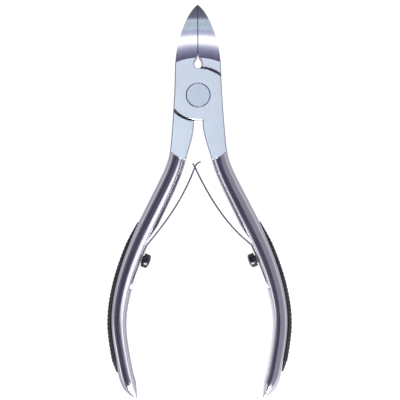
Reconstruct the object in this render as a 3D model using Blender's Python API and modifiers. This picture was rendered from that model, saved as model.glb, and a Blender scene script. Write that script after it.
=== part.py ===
"""A cuticle nipper: two half-lapped steel levers on a flush rivet, two spring leaves that hook into
each other between the handles, and a rubber grip strip along the outside of each handle.

Metres, +Z up. The nipper lies on its back: X runs across the handles, +Y points to the jaw tips and
Z is the pivot's axis. The origin is where the pivot's axis meets the joint's rear face. The front
lever carries the left jaw and the right handle, the rear lever the right jaw and the left handle.
"""

from dataclasses import dataclass
from math import acos, asin, cos, degrees, pi, radians, sin

import bmesh
import bpy
from mathutils import Matrix, Vector
from mathutils.geometry import interpolate_bezier

MM = 0.001

# ---- Clearances ---------------------------------------------------------------------------------

GAP = 0.3 * MM                   # between two pieces that rest on or run in each other
EDGE_GAP = 0.2 * MM              # between the closed cutting edges

# ---- Jaws ---------------------------------------------------------------------------------------

JAW_LENGTH = 23.2 * MM           # pivot axis to the jaw tips
JAW_BASE_Y = 7.0 * MM            # where the jaws grow out of the joint
JAW_BASE_HALF_WIDTH = 5.9 * MM
JAW_TIP_SLOPE = (2.8 * MM, 2.3 * MM)      # how the outline leaves the tip: sideways, downwards
JAW_SHOULDER = (0.3 * MM, 7.0 * MM)       # how the outline reaches the base: inwards, upwards
EDGE_START_Y = 10.7 * MM         # the cutting edges run from here to the tips
WINDOW_HALF_WIDTH = 0.90 * MM    # relief between the jaws, below the cutting edges
WINDOW_Y = 7.9 * MM
FACET_RADIUS = 14.3 * MM         # the front facets start on an arc of this radius ...
FACET_START_Y = 9.4 * MM         # ... whose top is here
JAW_TIP_DROP = 4.0 * MM          # how far the front facets fall from the joint's face to the tips
JAW_BACK_Y = 11.0 * MM           # the jaws' backs rise from here ...
JAW_BACK_RISE = 1.0 * MM         # ... by this much at the tips
HOLLOW_RADIUS = 2.4 * MM         # hollow ground between the jaws' backs
HOLLOW_DEPTH = 1.4 * MM

# ---- Joint and arms -----------------------------------------------------------------------------

JOINT_THICKNESS = 6.4 * MM
JOINT_HALF_WIDTH = 6.3 * MM
JAW_SEAM = (8.2 * MM, 7.05 * MM)          # half-axes of the lap's oval on the jaws' side
ARM_SEAM = (7.6 * MM, 6.5 * MM)           # and on the handles' side
ARM_LENGTH = 14.4 * MM           # pivot axis to the outer corner of an arm's flat
ARM_HALF_WIDTH = 7.3 * MM        # the arm's outer edge at its end
ARM_INNER_X = 3.20 * MM          # the arm's inner edge at its end
ARM_SLANT = 2.1 * MM             # how much further the flat runs on its inner edge
CROTCH_HALF_GAP = 1.0 * MM       # between the arms, just below the lap

RIVET_RADIUS = 2.95 * MM
RIVET_SHANK_RADIUS = 2.0 * MM
RIVET_COUNTERSINK = 0.95 * MM

# ---- Handles ------------------------------------------------------------------------------------

HANDLE_LENGTH = 76.9 * MM        # pivot axis to the handles' ends
HANDLE_SPREAD = 20.6 * MM        # pivot axis to a handle's centre line, at its widest
HANDLE_OVERLAP = 1.2 * MM        # how far a handle's centre line starts inside the arm
HANDLE_ROOT_RADIUS = 2.20 * MM
HANDLE_NECK_RADIUS = 2.30 * MM
HANDLE_PALM_RADIUS = 2.40 * MM
HANDLE_LOW_RADIUS = 2.02 * MM
HANDLE_TAIL_RADIUS = 1.85 * MM
HANDLE_END_RADIUS = 0.50 * MM
HANDLE_DEPTH_RATIO = 1.15        # the section's depth along Z, over its width

# ---- Spring leaves, their screws and the grips ----------------------------------------------------

LEAF_THICKNESS = 0.45 * MM
LEAF_WIDTH = 3.8 * MM
LEAF_SEAT_DEPTH = 0.7 * MM       # depth of the flat that a leaf's foot lies in
LEAF_END_GAP = 0.5 * MM          # between a leaf's foot and the end of its flat
HOOK_X = -0.95 * MM              # where the leaves cross
HOOK_DISTANCE = 18.1 * MM        # and how far that is below the pivot's axis
TONGUE_WIDTH = 1.3 * MM
SLOT_LENGTH = 1.9 * MM

SCREW_STATION = 29.9 * MM        # along the handle, from the start of its centre line
SCREW_HEAD_RADIUS = 1.8 * MM
SCREW_HEAD_HEIGHT = 1.2 * MM
SCREW_DOME_HEIGHT = 0.5 * MM
SCREW_SHANK_RADIUS = 1.0 * MM
SCREW_SHANK_LENGTH = 2.4 * MM
SCREW_SLOT_WIDTH = 0.6 * MM
SCREW_SLOT_DEPTH = 0.75 * MM

GRIP_START = 21.7 * MM           # along the handle, from the start of its centre line
GRIP_END = 59.6 * MM
GRIP_PROUD_TOP = 0.60 * MM       # how far a grip stands out of its handle at its upper end
GRIP_PROUD_LOW = 0.92 * MM       # and at its lower end
GRIP_SUNK = 0.35 * MM            # how far it reaches into its handle
GRIP_DEPTH_RATIO = 1.5           # the strip's width along Z, over its thickness

MID_Z = JOINT_THICKNESS / 2

# ---- Small helpers --------------------------------------------------------------------------------


def clear_scene():
    """Start from an empty scene."""
    for existing in list(bpy.data.objects):
        bpy.data.objects.remove(existing, do_unlink=True)


def new_collection(name):
    """A collection linked to the scene."""
    collection = bpy.data.collections.new(name)
    bpy.context.scene.collection.children.link(collection)
    return collection


def material(name, colour, roughness, metallic):
    """A Principled material."""
    made = bpy.data.materials.new(name)
    made.use_nodes = True
    shader = made.node_tree.nodes["Principled BSDF"]
    shader.inputs["Base Color"].default_value = (*colour, 1.0)
    shader.inputs["Roughness"].default_value = roughness
    shader.inputs["Metallic"].default_value = metallic
    return made


def mesh_object(name, mesh, collection):
    """An object that holds a mesh, linked to a collection."""
    made = bpy.data.objects.new(name, mesh)
    collection.objects.link(made)
    return made


def mesh_from_curve(name, curve, place, collection, flat=False):
    """Turn a curve into a mesh object at the given place, a flat one with its caps as one face."""
    guide = bpy.data.objects.new(name + "_guide", curve)
    bpy.context.scene.collection.objects.link(guide)
    guide.matrix_world = place
    bpy.context.view_layer.update()
    evaluated = guide.evaluated_get(bpy.context.evaluated_depsgraph_get())
    mesh = bpy.data.meshes.new_from_object(evaluated)
    body = bmesh.new()
    body.from_mesh(mesh)
    bmesh.ops.remove_doubles(body, verts=body.verts, dist=0.001 * MM)
    if flat:
        caps = [edge for edge in body.edges if edge.calc_face_angle(1.0) < radians(0.1)
                and abs(edge.verts[0].co.z - edge.verts[1].co.z) < 0.001 * MM]
        bmesh.ops.dissolve_edges(body, edges=caps)
    body.to_mesh(mesh)
    body.free()
    mesh.name = name
    made = mesh_object(name, mesh, collection)
    made.matrix_world = place
    bpy.data.objects.remove(guide)
    return made


def plate(name, outline, low, high, collection):
    """A flat outline, extruded from one height to another."""
    curve = bpy.data.curves.new(name, "CURVE")
    curve.dimensions = "2D"
    curve.fill_mode = "BOTH"
    curve.extrude = (high - low) / 2
    spline = curve.splines.new("POLY")
    spline.points.add(len(outline) - 1)
    for point, (x, y) in zip(spline.points, outline):
        point.co = (x, y, 0, 1)
    spline.use_cyclic_u = True
    place = Matrix.Translation((0, 0, (low + high) / 2))
    return mesh_from_curve(name, curve, place, collection, flat=True)


def rod(name, stations, depth_ratio, resolution, collection):
    """A bar of oval section along (x, y, half width) stations, centred on the joint's thickness."""
    curve = bpy.data.curves.new(name, "CURVE")
    curve.dimensions = "3D"
    curve.bevel_depth = max(radius for _, _, radius in stations)
    curve.bevel_resolution = resolution
    curve.use_fill_caps = True
    spline = curve.splines.new("POLY")
    spline.points.add(len(stations) - 1)
    for point, (x, y, radius) in zip(spline.points, stations):
        point.co = (x, y, 0, 1)
        point.radius = radius / curve.bevel_depth
    made = mesh_from_curve(name, curve, Matrix.Identity(4), collection)
    made.data.transform(Matrix.Diagonal((1, 1, depth_ratio, 1)))
    made.location.z = MID_Z
    return made


def ribbon(name, stations, width, thickness, collection):
    """A strip standing on edge along (x, y, share of the width) stations."""
    curve = bpy.data.curves.new(name, "CURVE")
    curve.dimensions = "3D"
    curve.extrude = width / 2
    spline = curve.splines.new("POLY")
    spline.points.add(len(stations) - 1)
    for point, (x, y, share) in zip(spline.points, stations):
        point.co = (x, y, 0, 1)
        point.radius = share
    made = mesh_from_curve(name, curve, Matrix.Translation((0, 0, MID_Z)), collection)
    solidify = made.modifiers.new("thickness", "SOLIDIFY")
    solidify.thickness = thickness
    solidify.offset = 0
    solidify.use_even_offset = True
    return made


def turned(name, profile, steps, place, collection):
    """A profile of (radius, height) points, from the top down the outer side, turned about Z."""
    mesh = bpy.data.meshes.new(name)
    points = [(radius, 0, height) for radius, height in profile]
    mesh.from_pydata(points, [(n, n + 1) for n in range(len(points) - 1)], [])
    made = mesh_object(name, mesh, collection)
    made.matrix_world = place
    lathe = made.modifiers.new("lathe", "SCREW")
    lathe.steps = steps
    lathe.render_steps = steps
    lathe.use_merge_vertices = True
    lathe.merge_threshold = 0.001 * MM
    return made


def block(name, size, place, collection):
    """A box of the given size, placed by a matrix."""
    mesh = bpy.data.meshes.new(name)
    body = bmesh.new()
    bmesh.ops.create_cube(body, size=1.0, matrix=Matrix.Diagonal((*size, 1)))
    body.to_mesh(mesh)
    body.free()
    made = mesh_object(name, mesh, collection)
    made.matrix_world = place
    return made


def cylinder(name, radius, length, place, collection):
    """A cylinder along its own Z, placed by a matrix."""
    mesh = bpy.data.meshes.new(name)
    body = bmesh.new()
    bmesh.ops.create_cone(
        body, cap_ends=True, segments=32, radius1=radius, radius2=radius, depth=length)
    body.to_mesh(mesh)
    body.free()
    made = mesh_object(name, mesh, collection)
    made.matrix_world = place
    return made


def apply_tool(target, tool, operation):
    """Join a tool to the target, or cut the target with it, and mark it as a tool."""
    tool.hide_render = True
    tool.display_type = "WIRE"
    boolean = target.modifiers.new(tool.name, "BOOLEAN")
    boolean.operation = operation
    boolean.object = tool


def finish(target, look, crease_degrees=32):
    """Give a sub-part its material and its shading."""
    target.data.materials.clear()
    target.data.materials.append(look)
    target.data.shade_smooth()
    target.data.set_sharp_from_angle(angle=radians(crease_degrees))


def basis(origin, x_axis, z_axis):
    """A placing matrix from an origin and two directions."""
    z = Vector(z_axis).normalized()
    x = Vector(x_axis).normalized()
    y = z.cross(x)
    return Matrix.Translation(origin) @ Matrix((x, y, z)).transposed().to_4x4()


# ---- Plane curves ---------------------------------------------------------------------------------


def bezier(start, lead_out, lead_in, end, steps):
    """Points of a cubic curve in the XY plane, both ends included."""
    points = interpolate_bezier(
        Vector((*start, 0)), Vector((*lead_out, 0)), Vector((*lead_in, 0)), Vector((*end, 0)),
        steps)
    return [(point.x, point.y) for point in points]


def oval(semi_axes, from_degrees, to_degrees, steps):
    """Points of an oval about the pivot's axis, both ends included."""
    sweep = to_degrees - from_degrees
    angles = [radians(from_degrees + sweep * n / steps) for n in range(steps + 1)]
    return [(semi_axes[0] * cos(angle), semi_axes[1] * sin(angle)) for angle in angles]


def grown(semi_axes, amount):
    """An oval's half-axes, each made longer by the same amount."""
    return semi_axes[0] + amount, semi_axes[1] + amount


def silhouette():
    """The outer edge of jaw, joint and arm on the +X side, from the tip to the arm's end."""
    tip = (EDGE_GAP / 2, JAW_LENGTH)
    base = (JAW_BASE_HALF_WIDTH, JAW_BASE_Y)
    end = (ARM_HALF_WIDTH, -ARM_LENGTH)
    jaw = bezier(
        tip, (tip[0] + JAW_TIP_SLOPE[0], tip[1] - JAW_TIP_SLOPE[1]),
        (base[0] - JAW_SHOULDER[0], base[1] + JAW_SHOULDER[1]), base, 14)
    waist_y = (base[1] + end[1]) / 2
    waist_lead = 2 * JOINT_HALF_WIDTH - (base[0] + end[0]) / 2
    joint = bezier(
        base, (base[0] + (waist_lead - base[0]) / 3, waist_y + (base[1] - waist_y) / 2),
        (waist_lead + (end[0] - waist_lead) / 2, waist_y + (end[1] - waist_y) / 2), end, 13)
    return jaw + joint[1:]


def half_width_at(y):
    """The silhouette's distance from the middle at a height."""
    points = silhouette()
    for (x1, y1), (x2, y2) in zip(points, points[1:]):
        if y2 <= y <= y1:
            return x1 + (x2 - x1) * (y1 - y) / (y1 - y2)
    return points[-1][0]


def seam_end_degrees(semi_axes, side_of_pivot):
    """The oval's own angle from the X axis at which it meets the silhouette."""
    low, high = 0.0, pi / 2
    for _ in range(40):
        middle = (low + high) / 2
        x = semi_axes[0] * cos(middle)
        y = semi_axes[1] * sin(middle) * side_of_pivot
        if x > half_width_at(y):
            low = middle
        else:
            high = middle
    return degrees(high)


class HandlePath:
    """The centre line of a handle: a smooth curve through a few points, with its half widths."""

    SAMPLES = 12                 # per stretch between two points

    def __init__(self, side):
        """Lay the line out on the -X side (side -1) or the +X side (side +1)."""
        root_x = (ARM_HALF_WIDTH + ARM_INNER_X) / 2 - 0.3 * MM
        root_y = -ARM_LENGTH + HANDLE_OVERLAP
        across = HANDLE_SPREAD - root_x
        down = HANDLE_LENGTH - HANDLE_END_RADIUS + root_y
        shape = [
            (0.000, 0.000, HANDLE_ROOT_RADIUS),
            (0.026, 0.050, HANDLE_ROOT_RADIUS),
            (0.155, 0.130, HANDLE_NECK_RADIUS),
            (0.380, 0.243, HANDLE_PALM_RADIUS),
            (0.693, 0.403, HANDLE_PALM_RADIUS),
            (0.917, 0.562, (HANDLE_PALM_RADIUS + HANDLE_LOW_RADIUS) / 2),
            (1.000, 0.713, HANDLE_LOW_RADIUS),
            (0.905, 0.882, (HANDLE_LOW_RADIUS + HANDLE_TAIL_RADIUS) / 2),
            (0.832, 0.948, HANDLE_TAIL_RADIUS),
            (0.775, 0.980, (HANDLE_TAIL_RADIUS + HANDLE_END_RADIUS) / 2),
            (0.730, 1.000, HANDLE_END_RADIUS),
        ]
        knots = [
            Vector((side * (root_x + across * u), root_y - down * v, radius))
            for u, v, radius in shape]
        self.side = side
        self.points = [knots[0]]
        for n in range(len(knots) - 1):
            before = knots[max(n - 1, 0)]
            after = knots[min(n + 2, len(knots) - 1)]
            lead_out = knots[n] + (knots[n + 1] - before) / 6
            lead_in = knots[n + 1] - (after - knots[n]) / 6
            stretch = interpolate_bezier(
                knots[n], lead_out, lead_in, knots[n + 1], self.SAMPLES + 1)
            self.points += stretch[1:]
        self.lengths = [0.0]
        for a, b in zip(self.points, self.points[1:]):
            self.lengths.append(self.lengths[-1] + (b.xy - a.xy).length)

    def at(self, station):
        """Centre, direction towards the handle's end, and half width, this far along."""
        n = 0
        while n < len(self.lengths) - 2 and self.lengths[n + 1] < station:
            n += 1
        a, b = self.points[n], self.points[n + 1]
        share = (station - self.lengths[n]) / (self.lengths[n + 1] - self.lengths[n])
        point = a.lerp(b, share)
        return point.xy, (b.xy - a.xy).normalized(), point.z

    def inward(self, station):
        """The direction from the handle's centre line to the space between the handles."""
        _, along, _ = self.at(station)
        return Vector((along.y, -along.x)) * self.side

    def offset(self, station, distance):
        """A point beside the centre line: inside the handles if positive, outside if negative."""
        centre, _, _ = self.at(station)
        return centre + self.inward(station) * distance

    def rod_stations(self):
        """Stations for the handle's bar, closer together near its end."""
        spaced = self.points[0:-24:3] + self.points[-24::2]
        last = self.points[-1]
        if spaced[-1] is not last:
            spaced.append(last)
        return [tuple(point) for point in spaced]


# ---- Levers ---------------------------------------------------------------------------------------


def lever_outline(side):
    """The flat outline of one lever's jaw, lap plate and arm. side +1 has its arm on +X."""
    edge = silhouette()
    jaw_plate = grown(JAW_SEAM, -GAP / 2)
    arm_plate = grown(ARM_SEAM, -GAP / 2)
    jaw_end = seam_end_degrees(jaw_plate, 1)
    arm_end = seam_end_degrees(arm_plate, -1)
    jaw_corner_y = jaw_plate[1] * sin(radians(jaw_end))
    arm_corner_y = -arm_plate[1] * sin(radians(arm_end))
    crotch_degrees = degrees(asin(CROTCH_HALF_GAP / arm_plate[0]))
    window_degrees = degrees(acos(WINDOW_HALF_WIDTH / 2 / jaw_plate[0]))

    outline = [(-x, y) for x, y in edge if y > arm_corner_y]
    outline += oval(arm_plate, 180 + arm_end, 270 + crotch_degrees, 20)
    crotch = outline[-1]
    inner_end = (ARM_INNER_X, -ARM_LENGTH - ARM_SLANT)
    outer_end = (ARM_HALF_WIDTH, -ARM_LENGTH)
    outline += bezier(
        crotch, (crotch[0], crotch[1] * 0.6 + inner_end[1] * 0.4),
        (inner_end[0] - 0.7 * MM, inner_end[1] * 0.7 + crotch[1] * 0.3), inner_end, 8)[1:]
    outline += bezier(
        inner_end, (inner_end[0] + 1.5 * MM, inner_end[1] + 0.35 * MM),
        (outer_end[0] - 1.2 * MM, outer_end[1] - 0.9 * MM), outer_end, 8)[1:-1]
    outline += [(x, y) for x, y in reversed(edge) if y < jaw_corner_y]
    outline += oval(jaw_plate, jaw_end, window_degrees, 14)
    corner = outline[-1]
    widest = (-WINDOW_HALF_WIDTH, WINDOW_Y)
    edge_start = (-EDGE_GAP / 2, EDGE_START_Y)
    outline += bezier(
        corner, (-WINDOW_HALF_WIDTH / 2, corner[1] - 0.2 * MM),
        (widest[0], widest[1] - 0.6 * MM), widest, 6)[1:]
    outline += bezier(
        widest, (widest[0], widest[1] + 1.1 * MM),
        (edge_start[0], edge_start[1] - 1.9 * MM), edge_start, 8)[1:]
    return [(side * x, y) for x, y in outline]


def lap_outline():
    """The oval pocket that clears the other lever's lap plate."""
    upper = oval(grown(JAW_SEAM, GAP / 2), 9, 173, 32)
    lower = oval(grown(ARM_SEAM, GAP / 2), 188, 352, 32)
    return upper + lower


def rivet_profile(gap, overrun):
    """The rivet's profile, or its hole's with a gap all round, run past both faces."""
    top = JOINT_THICKNESS + overrun
    head = RIVET_RADIUS + gap
    shank = RIVET_SHANK_RADIUS + gap
    return [
        (0, top),
        (head, top),
        (head, JOINT_THICKNESS - RIVET_COUNTERSINK / 3),
        (shank, JOINT_THICKNESS - RIVET_COUNTERSINK - gap),
        (shank, RIVET_COUNTERSINK + gap),
        (head, RIVET_COUNTERSINK / 3),
        (head, -overrun),
        (0, -overrun),
    ]


def facet_tool(tools):
    """The solid that is ground away in front of both jaws: a curved profile swung about an axis."""
    axis_y = FACET_START_Y - FACET_RADIUS
    reach = JAW_LENGTH - axis_y
    run = reach - FACET_RADIUS
    curve_radius = (run ** 2 + JAW_TIP_DROP ** 2) / (2 * JAW_TIP_DROP)
    steps = 12
    profile = []
    for n in range(-1, steps + 3):
        r = FACET_RADIUS + run * n / steps
        drop = curve_radius - (curve_radius ** 2 - (r - FACET_RADIUS) ** 2) ** 0.5
        lift = 0.03 * MM if n < 0 else 0
        profile.append((r, JOINT_THICKNESS - drop + lift))
    high = JOINT_THICKNESS + 2 * MM
    profile += [(profile[-1][0], high), (profile[0][0], high)]
    swing = radians(70)
    body = bmesh.new()
    start = Matrix.Rotation(-swing / 2, 3, "Z")
    corners = [body.verts.new(start @ Vector((0, r, z))) for r, z in profile]
    face = body.faces.new(corners)
    bmesh.ops.spin(
        body, geom=[face], cent=(0, 0, 0), axis=(0, 0, 1), angle=swing, steps=20,
        use_merge=False, use_duplicate=False)
    bmesh.ops.recalc_face_normals(body, faces=body.faces)
    mesh = bpy.data.meshes.new("facet_tool")
    body.to_mesh(mesh)
    body.free()
    made = mesh_object("facet_tool", mesh, tools)
    made.location.y = axis_y
    return made


def back_tool(tools):
    """The wedge that is ground away behind both jaws."""
    run = JAW_LENGTH - JAW_BACK_Y
    slope = JAW_BACK_RISE / run
    length = 2.4 * run
    middle = Vector((0, JAW_BACK_Y + run * 0.6, JAW_BACK_RISE * 0.6))
    along = Vector((0, 1, slope)).normalized()
    up = Vector((1, 0, 0)).cross(along)
    depth = 3 * MM
    place = basis(middle - up * depth / 2, (1, 0, 0), up)
    return block("back_tool", (6 * JAW_BASE_HALF_WIDTH, length, depth), place, tools)


def hollow_tool(tools):
    """The bar that hollows the jaws' backs beside the cutting edges."""
    start = JAW_BASE_Y + GAP * 8
    length = JAW_LENGTH - start + 4 * MM
    centre = (0, start + length / 2, HOLLOW_DEPTH - HOLLOW_RADIUS)
    return cylinder("hollow_tool", HOLLOW_RADIUS, length, basis(centre, (1, 0, 0), (0, 1, 0)), tools)


def leaf_seat_tool(path, leaf, tools):
    """The shallow channel for a leaf's foot, along the inside of a handle, with a run-out at its top."""
    depth = 2 * MM
    run_out = 6 * MM
    stations = []
    steps = 16
    start = leaf.root_station - run_out
    end = leaf.foot_station + LEAF_END_GAP
    for n in range(steps + 1):
        station = start + (end - start) * n / steps
        sunk = LEAF_SEAT_DEPTH * min(1.0, (station - start) / (run_out * 0.8))
        _, _, radius = path.at(station)
        point = path.offset(station, radius - sunk + depth / 2)
        stations.append((point.x, point.y, 1.0))
    return ribbon(leaf.name + "_seat_tool", stations, 8 * MM, depth, tools)


def grip_stations(path, gap):
    """Stations of a grip strip, or of its groove with a gap all round."""
    steps = 26
    stations = []
    for n in range(steps + 1):
        share = n / steps
        station = GRIP_START - gap + (GRIP_END - GRIP_START + 2 * gap) * share
        taper = min(1.0, 0.35 + 4.0 * share, 0.35 + 8.0 * (1 - share))
        proud = (GRIP_PROUD_TOP + (GRIP_PROUD_LOW - GRIP_PROUD_TOP) * share) * taper
        half = (proud + GRIP_SUNK * taper) / 2
        _, _, radius = path.at(station)
        point = path.offset(station, -(radius + proud - half))
        stations.append((point.x, point.y, half + gap))
    return stations


def build_lever(name, side, leaf, shared_tools, parts, tools):
    """One lever: jaw, lap plate and arm from a flat outline, with the handle joined on."""
    path = HandlePath(side)
    lever = plate(name, lever_outline(side), 0, JOINT_THICKNESS, parts)
    handle = rod(name + "_handle", path.rod_stations(), HANDLE_DEPTH_RATIO, 6, tools)
    apply_tool(lever, handle, "UNION")
    if side > 0:
        pocket = plate(name + "_pocket", lap_outline(), -MM, MID_Z + GAP / 2, tools)
    else:
        pocket = plate(name + "_pocket", lap_outline(), MID_Z - GAP / 2, JOINT_THICKNESS + MM, tools)
    apply_tool(lever, pocket, "DIFFERENCE")
    for tool in shared_tools:
        apply_tool(lever, tool, "DIFFERENCE")
    apply_tool(lever, leaf_seat_tool(path, leaf, tools), "DIFFERENCE")
    groove = rod(name + "_groove", grip_stations(path, GAP), GRIP_DEPTH_RATIO, 4, tools)
    apply_tool(lever, groove, "DIFFERENCE")
    hole = cylinder(
        name + "_screw_hole", SCREW_SHANK_RADIUS + GAP, 2 * (SCREW_SHANK_LENGTH + GAP),
        screw_place(path), tools)
    apply_tool(lever, hole, "DIFFERENCE")
    return lever


# ---- Spring leaves --------------------------------------------------------------------------------


@dataclass(frozen=True)
class Leaf:
    """One spring leaf and the way it runs from its handle to the hook."""

    name: str
    side: int                    # -1 on the left handle, +1 on the right
    root_station: float          # where it leaves the handle
    foot_station: float          # where its foot ends
    root_reach: float            # how long it keeps the handle's direction
    root_turn: float             # how far it turns away from the handle there, in degrees
    hook_reach: float            # how long it keeps its direction at the hook
    hook_direction: tuple        # the way it runs through the hook
    tip_length: float            # past the hook
    tip_turn: float              # how far the tip turns, in degrees
    slotted: bool                # slotted for the other leaf's tongue, or ending in that tongue


LEFT_LEAF = Leaf(
    "left_spring_leaf", -1, 26.0 * MM, 37.8 * MM, 8.0 * MM, 16.0, 8.0 * MM, (0.34, 0.94),
    2.1 * MM, -48.0, False)
RIGHT_LEAF = Leaf(
    "right_spring_leaf", 1, 26.0 * MM, 37.8 * MM, 8.0 * MM, 28.0, 8.0 * MM, (-0.42, 0.91),
    1.05 * MM, 8.0, True)


def seat_offset(path, station):
    """Distance from the handle's centre line to the middle of a leaf in its seat."""
    _, _, radius = path.at(station)
    return radius - LEAF_SEAT_DEPTH + GAP + LEAF_THICKNESS / 2


def leaf_line(leaf):
    """Middle line of a leaf from foot to tip, as points, and how many of them reach the hook."""
    path = HandlePath(leaf.side)
    foot_steps = 8
    points = []
    for n in range(foot_steps + 1):
        station = leaf.foot_station + (leaf.root_station - leaf.foot_station) * n / foot_steps
        points.append(path.offset(station, seat_offset(path, station)))
    root = points[-1]
    hook = Vector((HOOK_X, -HOOK_DISTANCE))
    _, along, _ = path.at(leaf.root_station)
    away = Matrix.Rotation(radians(leaf.root_turn) * leaf.side, 2) @ -along
    through = Vector(leaf.hook_direction).normalized()
    free = bezier(
        root, root + away * leaf.root_reach, hook - through * leaf.hook_reach, hook, 17)
    points += [Vector(point) for point in free[1:]]
    reached = len(points)
    tip_steps = 3
    heading = through
    for _ in range(tip_steps):
        heading = Matrix.Rotation(radians(leaf.tip_turn) / tip_steps, 2) @ heading
        points.append(points[-1] + heading * leaf.tip_length / tip_steps)
    return points, reached


def build_leaf(leaf, parts, tools):
    """A spring leaf, with its screw hole and its slot or tongue."""
    points, reached = leaf_line(leaf)
    narrow = TONGUE_WIDTH / LEAF_WIDTH
    stations = []
    for n, point in enumerate(points):
        tongue = n >= reached - 2 and not leaf.slotted
        stations.append((point.x, point.y, narrow if tongue else 1.0))
    if not leaf.slotted:
        shoulder = points[reached - 3].lerp(points[reached - 2], 0.85)
        stations.insert(reached - 2, (shoulder.x, shoulder.y, 1.0))
    made = ribbon(leaf.name, stations, LEAF_WIDTH, LEAF_THICKNESS, parts)
    path = HandlePath(leaf.side)
    hole = cylinder(
        leaf.name + "_hole", SCREW_SHANK_RADIUS + GAP, 4 * MM, screw_place(path), tools)
    apply_tool(made, hole, "DIFFERENCE")
    if leaf.slotted:
        through = Vector((*leaf.hook_direction, 0)).normalized()
        across = Vector((0, 0, 1)).cross(through)
        centre = Vector((HOOK_X, -HOOK_DISTANCE, MID_Z)) - through * SLOT_LENGTH * 0.18
        slot = block(
            leaf.name + "_slot", (SLOT_LENGTH, TONGUE_WIDTH + 2 * GAP, 2 * MM),
            basis(centre, through, across), tools)
        apply_tool(made, slot, "DIFFERENCE")
    return made


# ---- Screws, rivet and grips ----------------------------------------------------------------------


def screw_place(path):
    """Where a screw's axis crosses the face of the leaf that its head is on."""
    _, _, radius = path.at(SCREW_STATION)
    face = radius - LEAF_SEAT_DEPTH + GAP + LEAF_THICKNESS
    seat = path.offset(SCREW_STATION, face)
    inward = path.inward(SCREW_STATION)
    return basis((seat.x, seat.y, MID_Z), (0, 0, 1), (inward.x, inward.y, 0))


def build_screw(name, side, parts, tools):
    """A slotted pan-head screw on a spring leaf's foot."""
    place = screw_place(HandlePath(side))
    low = GAP
    rim = low + SCREW_HEAD_HEIGHT
    top = rim + SCREW_DOME_HEIGHT
    profile = [
        (0, top),
        (SCREW_HEAD_RADIUS * 0.45, top - SCREW_DOME_HEIGHT * 0.12),
        (SCREW_HEAD_RADIUS * 0.80, top - SCREW_DOME_HEIGHT * 0.50),
        (SCREW_HEAD_RADIUS, rim),
        (SCREW_HEAD_RADIUS, low),
        (SCREW_SHANK_RADIUS, low),
        (SCREW_SHANK_RADIUS, low - SCREW_SHANK_LENGTH),
        (0, low - SCREW_SHANK_LENGTH),
    ]
    screw = turned(name, profile, 28, place, parts)
    height = 2 * SCREW_SLOT_DEPTH
    slot = block(
        name + "_slot", (SCREW_SLOT_WIDTH, 3 * SCREW_HEAD_RADIUS, height),
        place @ Matrix.Translation((0, 0, top)), tools)
    apply_tool(screw, slot, "DIFFERENCE")
    return screw


def build_rivet(parts):
    """The flush rivet that both levers turn on."""
    return turned("pivot_rivet", rivet_profile(0, 0), 48, Matrix.Identity(4), parts)


def build_grip(name, side, parts):
    """A rubber strip in the groove along the outside of a handle."""
    return rod(name, grip_stations(HandlePath(side), 0), GRIP_DEPTH_RATIO, 4, parts)


# ---- The whole nipper -----------------------------------------------------------------------------


def main():
    """Build the nipper."""
    clear_scene()
    parts = new_collection("cuticle_nipper")
    tools = new_collection("tools")
    steel = material("polished_steel", (0.62, 0.63, 0.66), 0.12, 1.0)
    ground_steel = material("ground_steel", (0.66, 0.69, 0.72), 0.32, 1.0)
    spring_steel = material("spring_steel", (0.50, 0.51, 0.54), 0.25, 1.0)
    black_steel = material("blackened_steel", (0.03, 0.03, 0.035), 0.35, 0.7)
    rubber = material("black_rubber", (0.02, 0.02, 0.022), 0.6, 0.0)

    bore = turned(
        "bore_tool", rivet_profile(GAP, MM), 48, Matrix.Rotation(radians(2.3), 4, "Z"), tools)
    shared_tools = [bore, facet_tool(tools), back_tool(tools), hollow_tool(tools)]
    finish(build_lever("front_lever", 1, RIGHT_LEAF, shared_tools, parts, tools), steel)
    finish(build_lever("rear_lever", -1, LEFT_LEAF, shared_tools, parts, tools), steel)
    finish(build_rivet(parts), ground_steel)
    for leaf in (LEFT_LEAF, RIGHT_LEAF):
        finish(build_leaf(leaf, parts, tools), spring_steel)
    for label, side in (("left", -1), ("right", 1)):
        finish(build_screw(label + "_spring_screw", side, parts, tools), black_steel)
        finish(build_grip(label + "_grip", side, parts), rubber, 60)


if __name__ == "__main__":
    main()
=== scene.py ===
"""Looks of a cuticle nipper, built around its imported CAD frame.

Metres throughout. X runs across the handles, +Y points to the jaw tips and Z is the pivot's axis. The
front lever carries the left jaw and the right handle, the rear lever the right jaw and the left one.
"""

import logging
from collections.abc import Callable, Sequence
from dataclasses import dataclass
from enum import Enum, IntEnum
from math import acos, asin, atan, cos, degrees, pi, radians, sin, tan

import bmesh
import bpy
from mathutils import Matrix, Vector
from mathutils.geometry import interpolate_bezier


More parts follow.
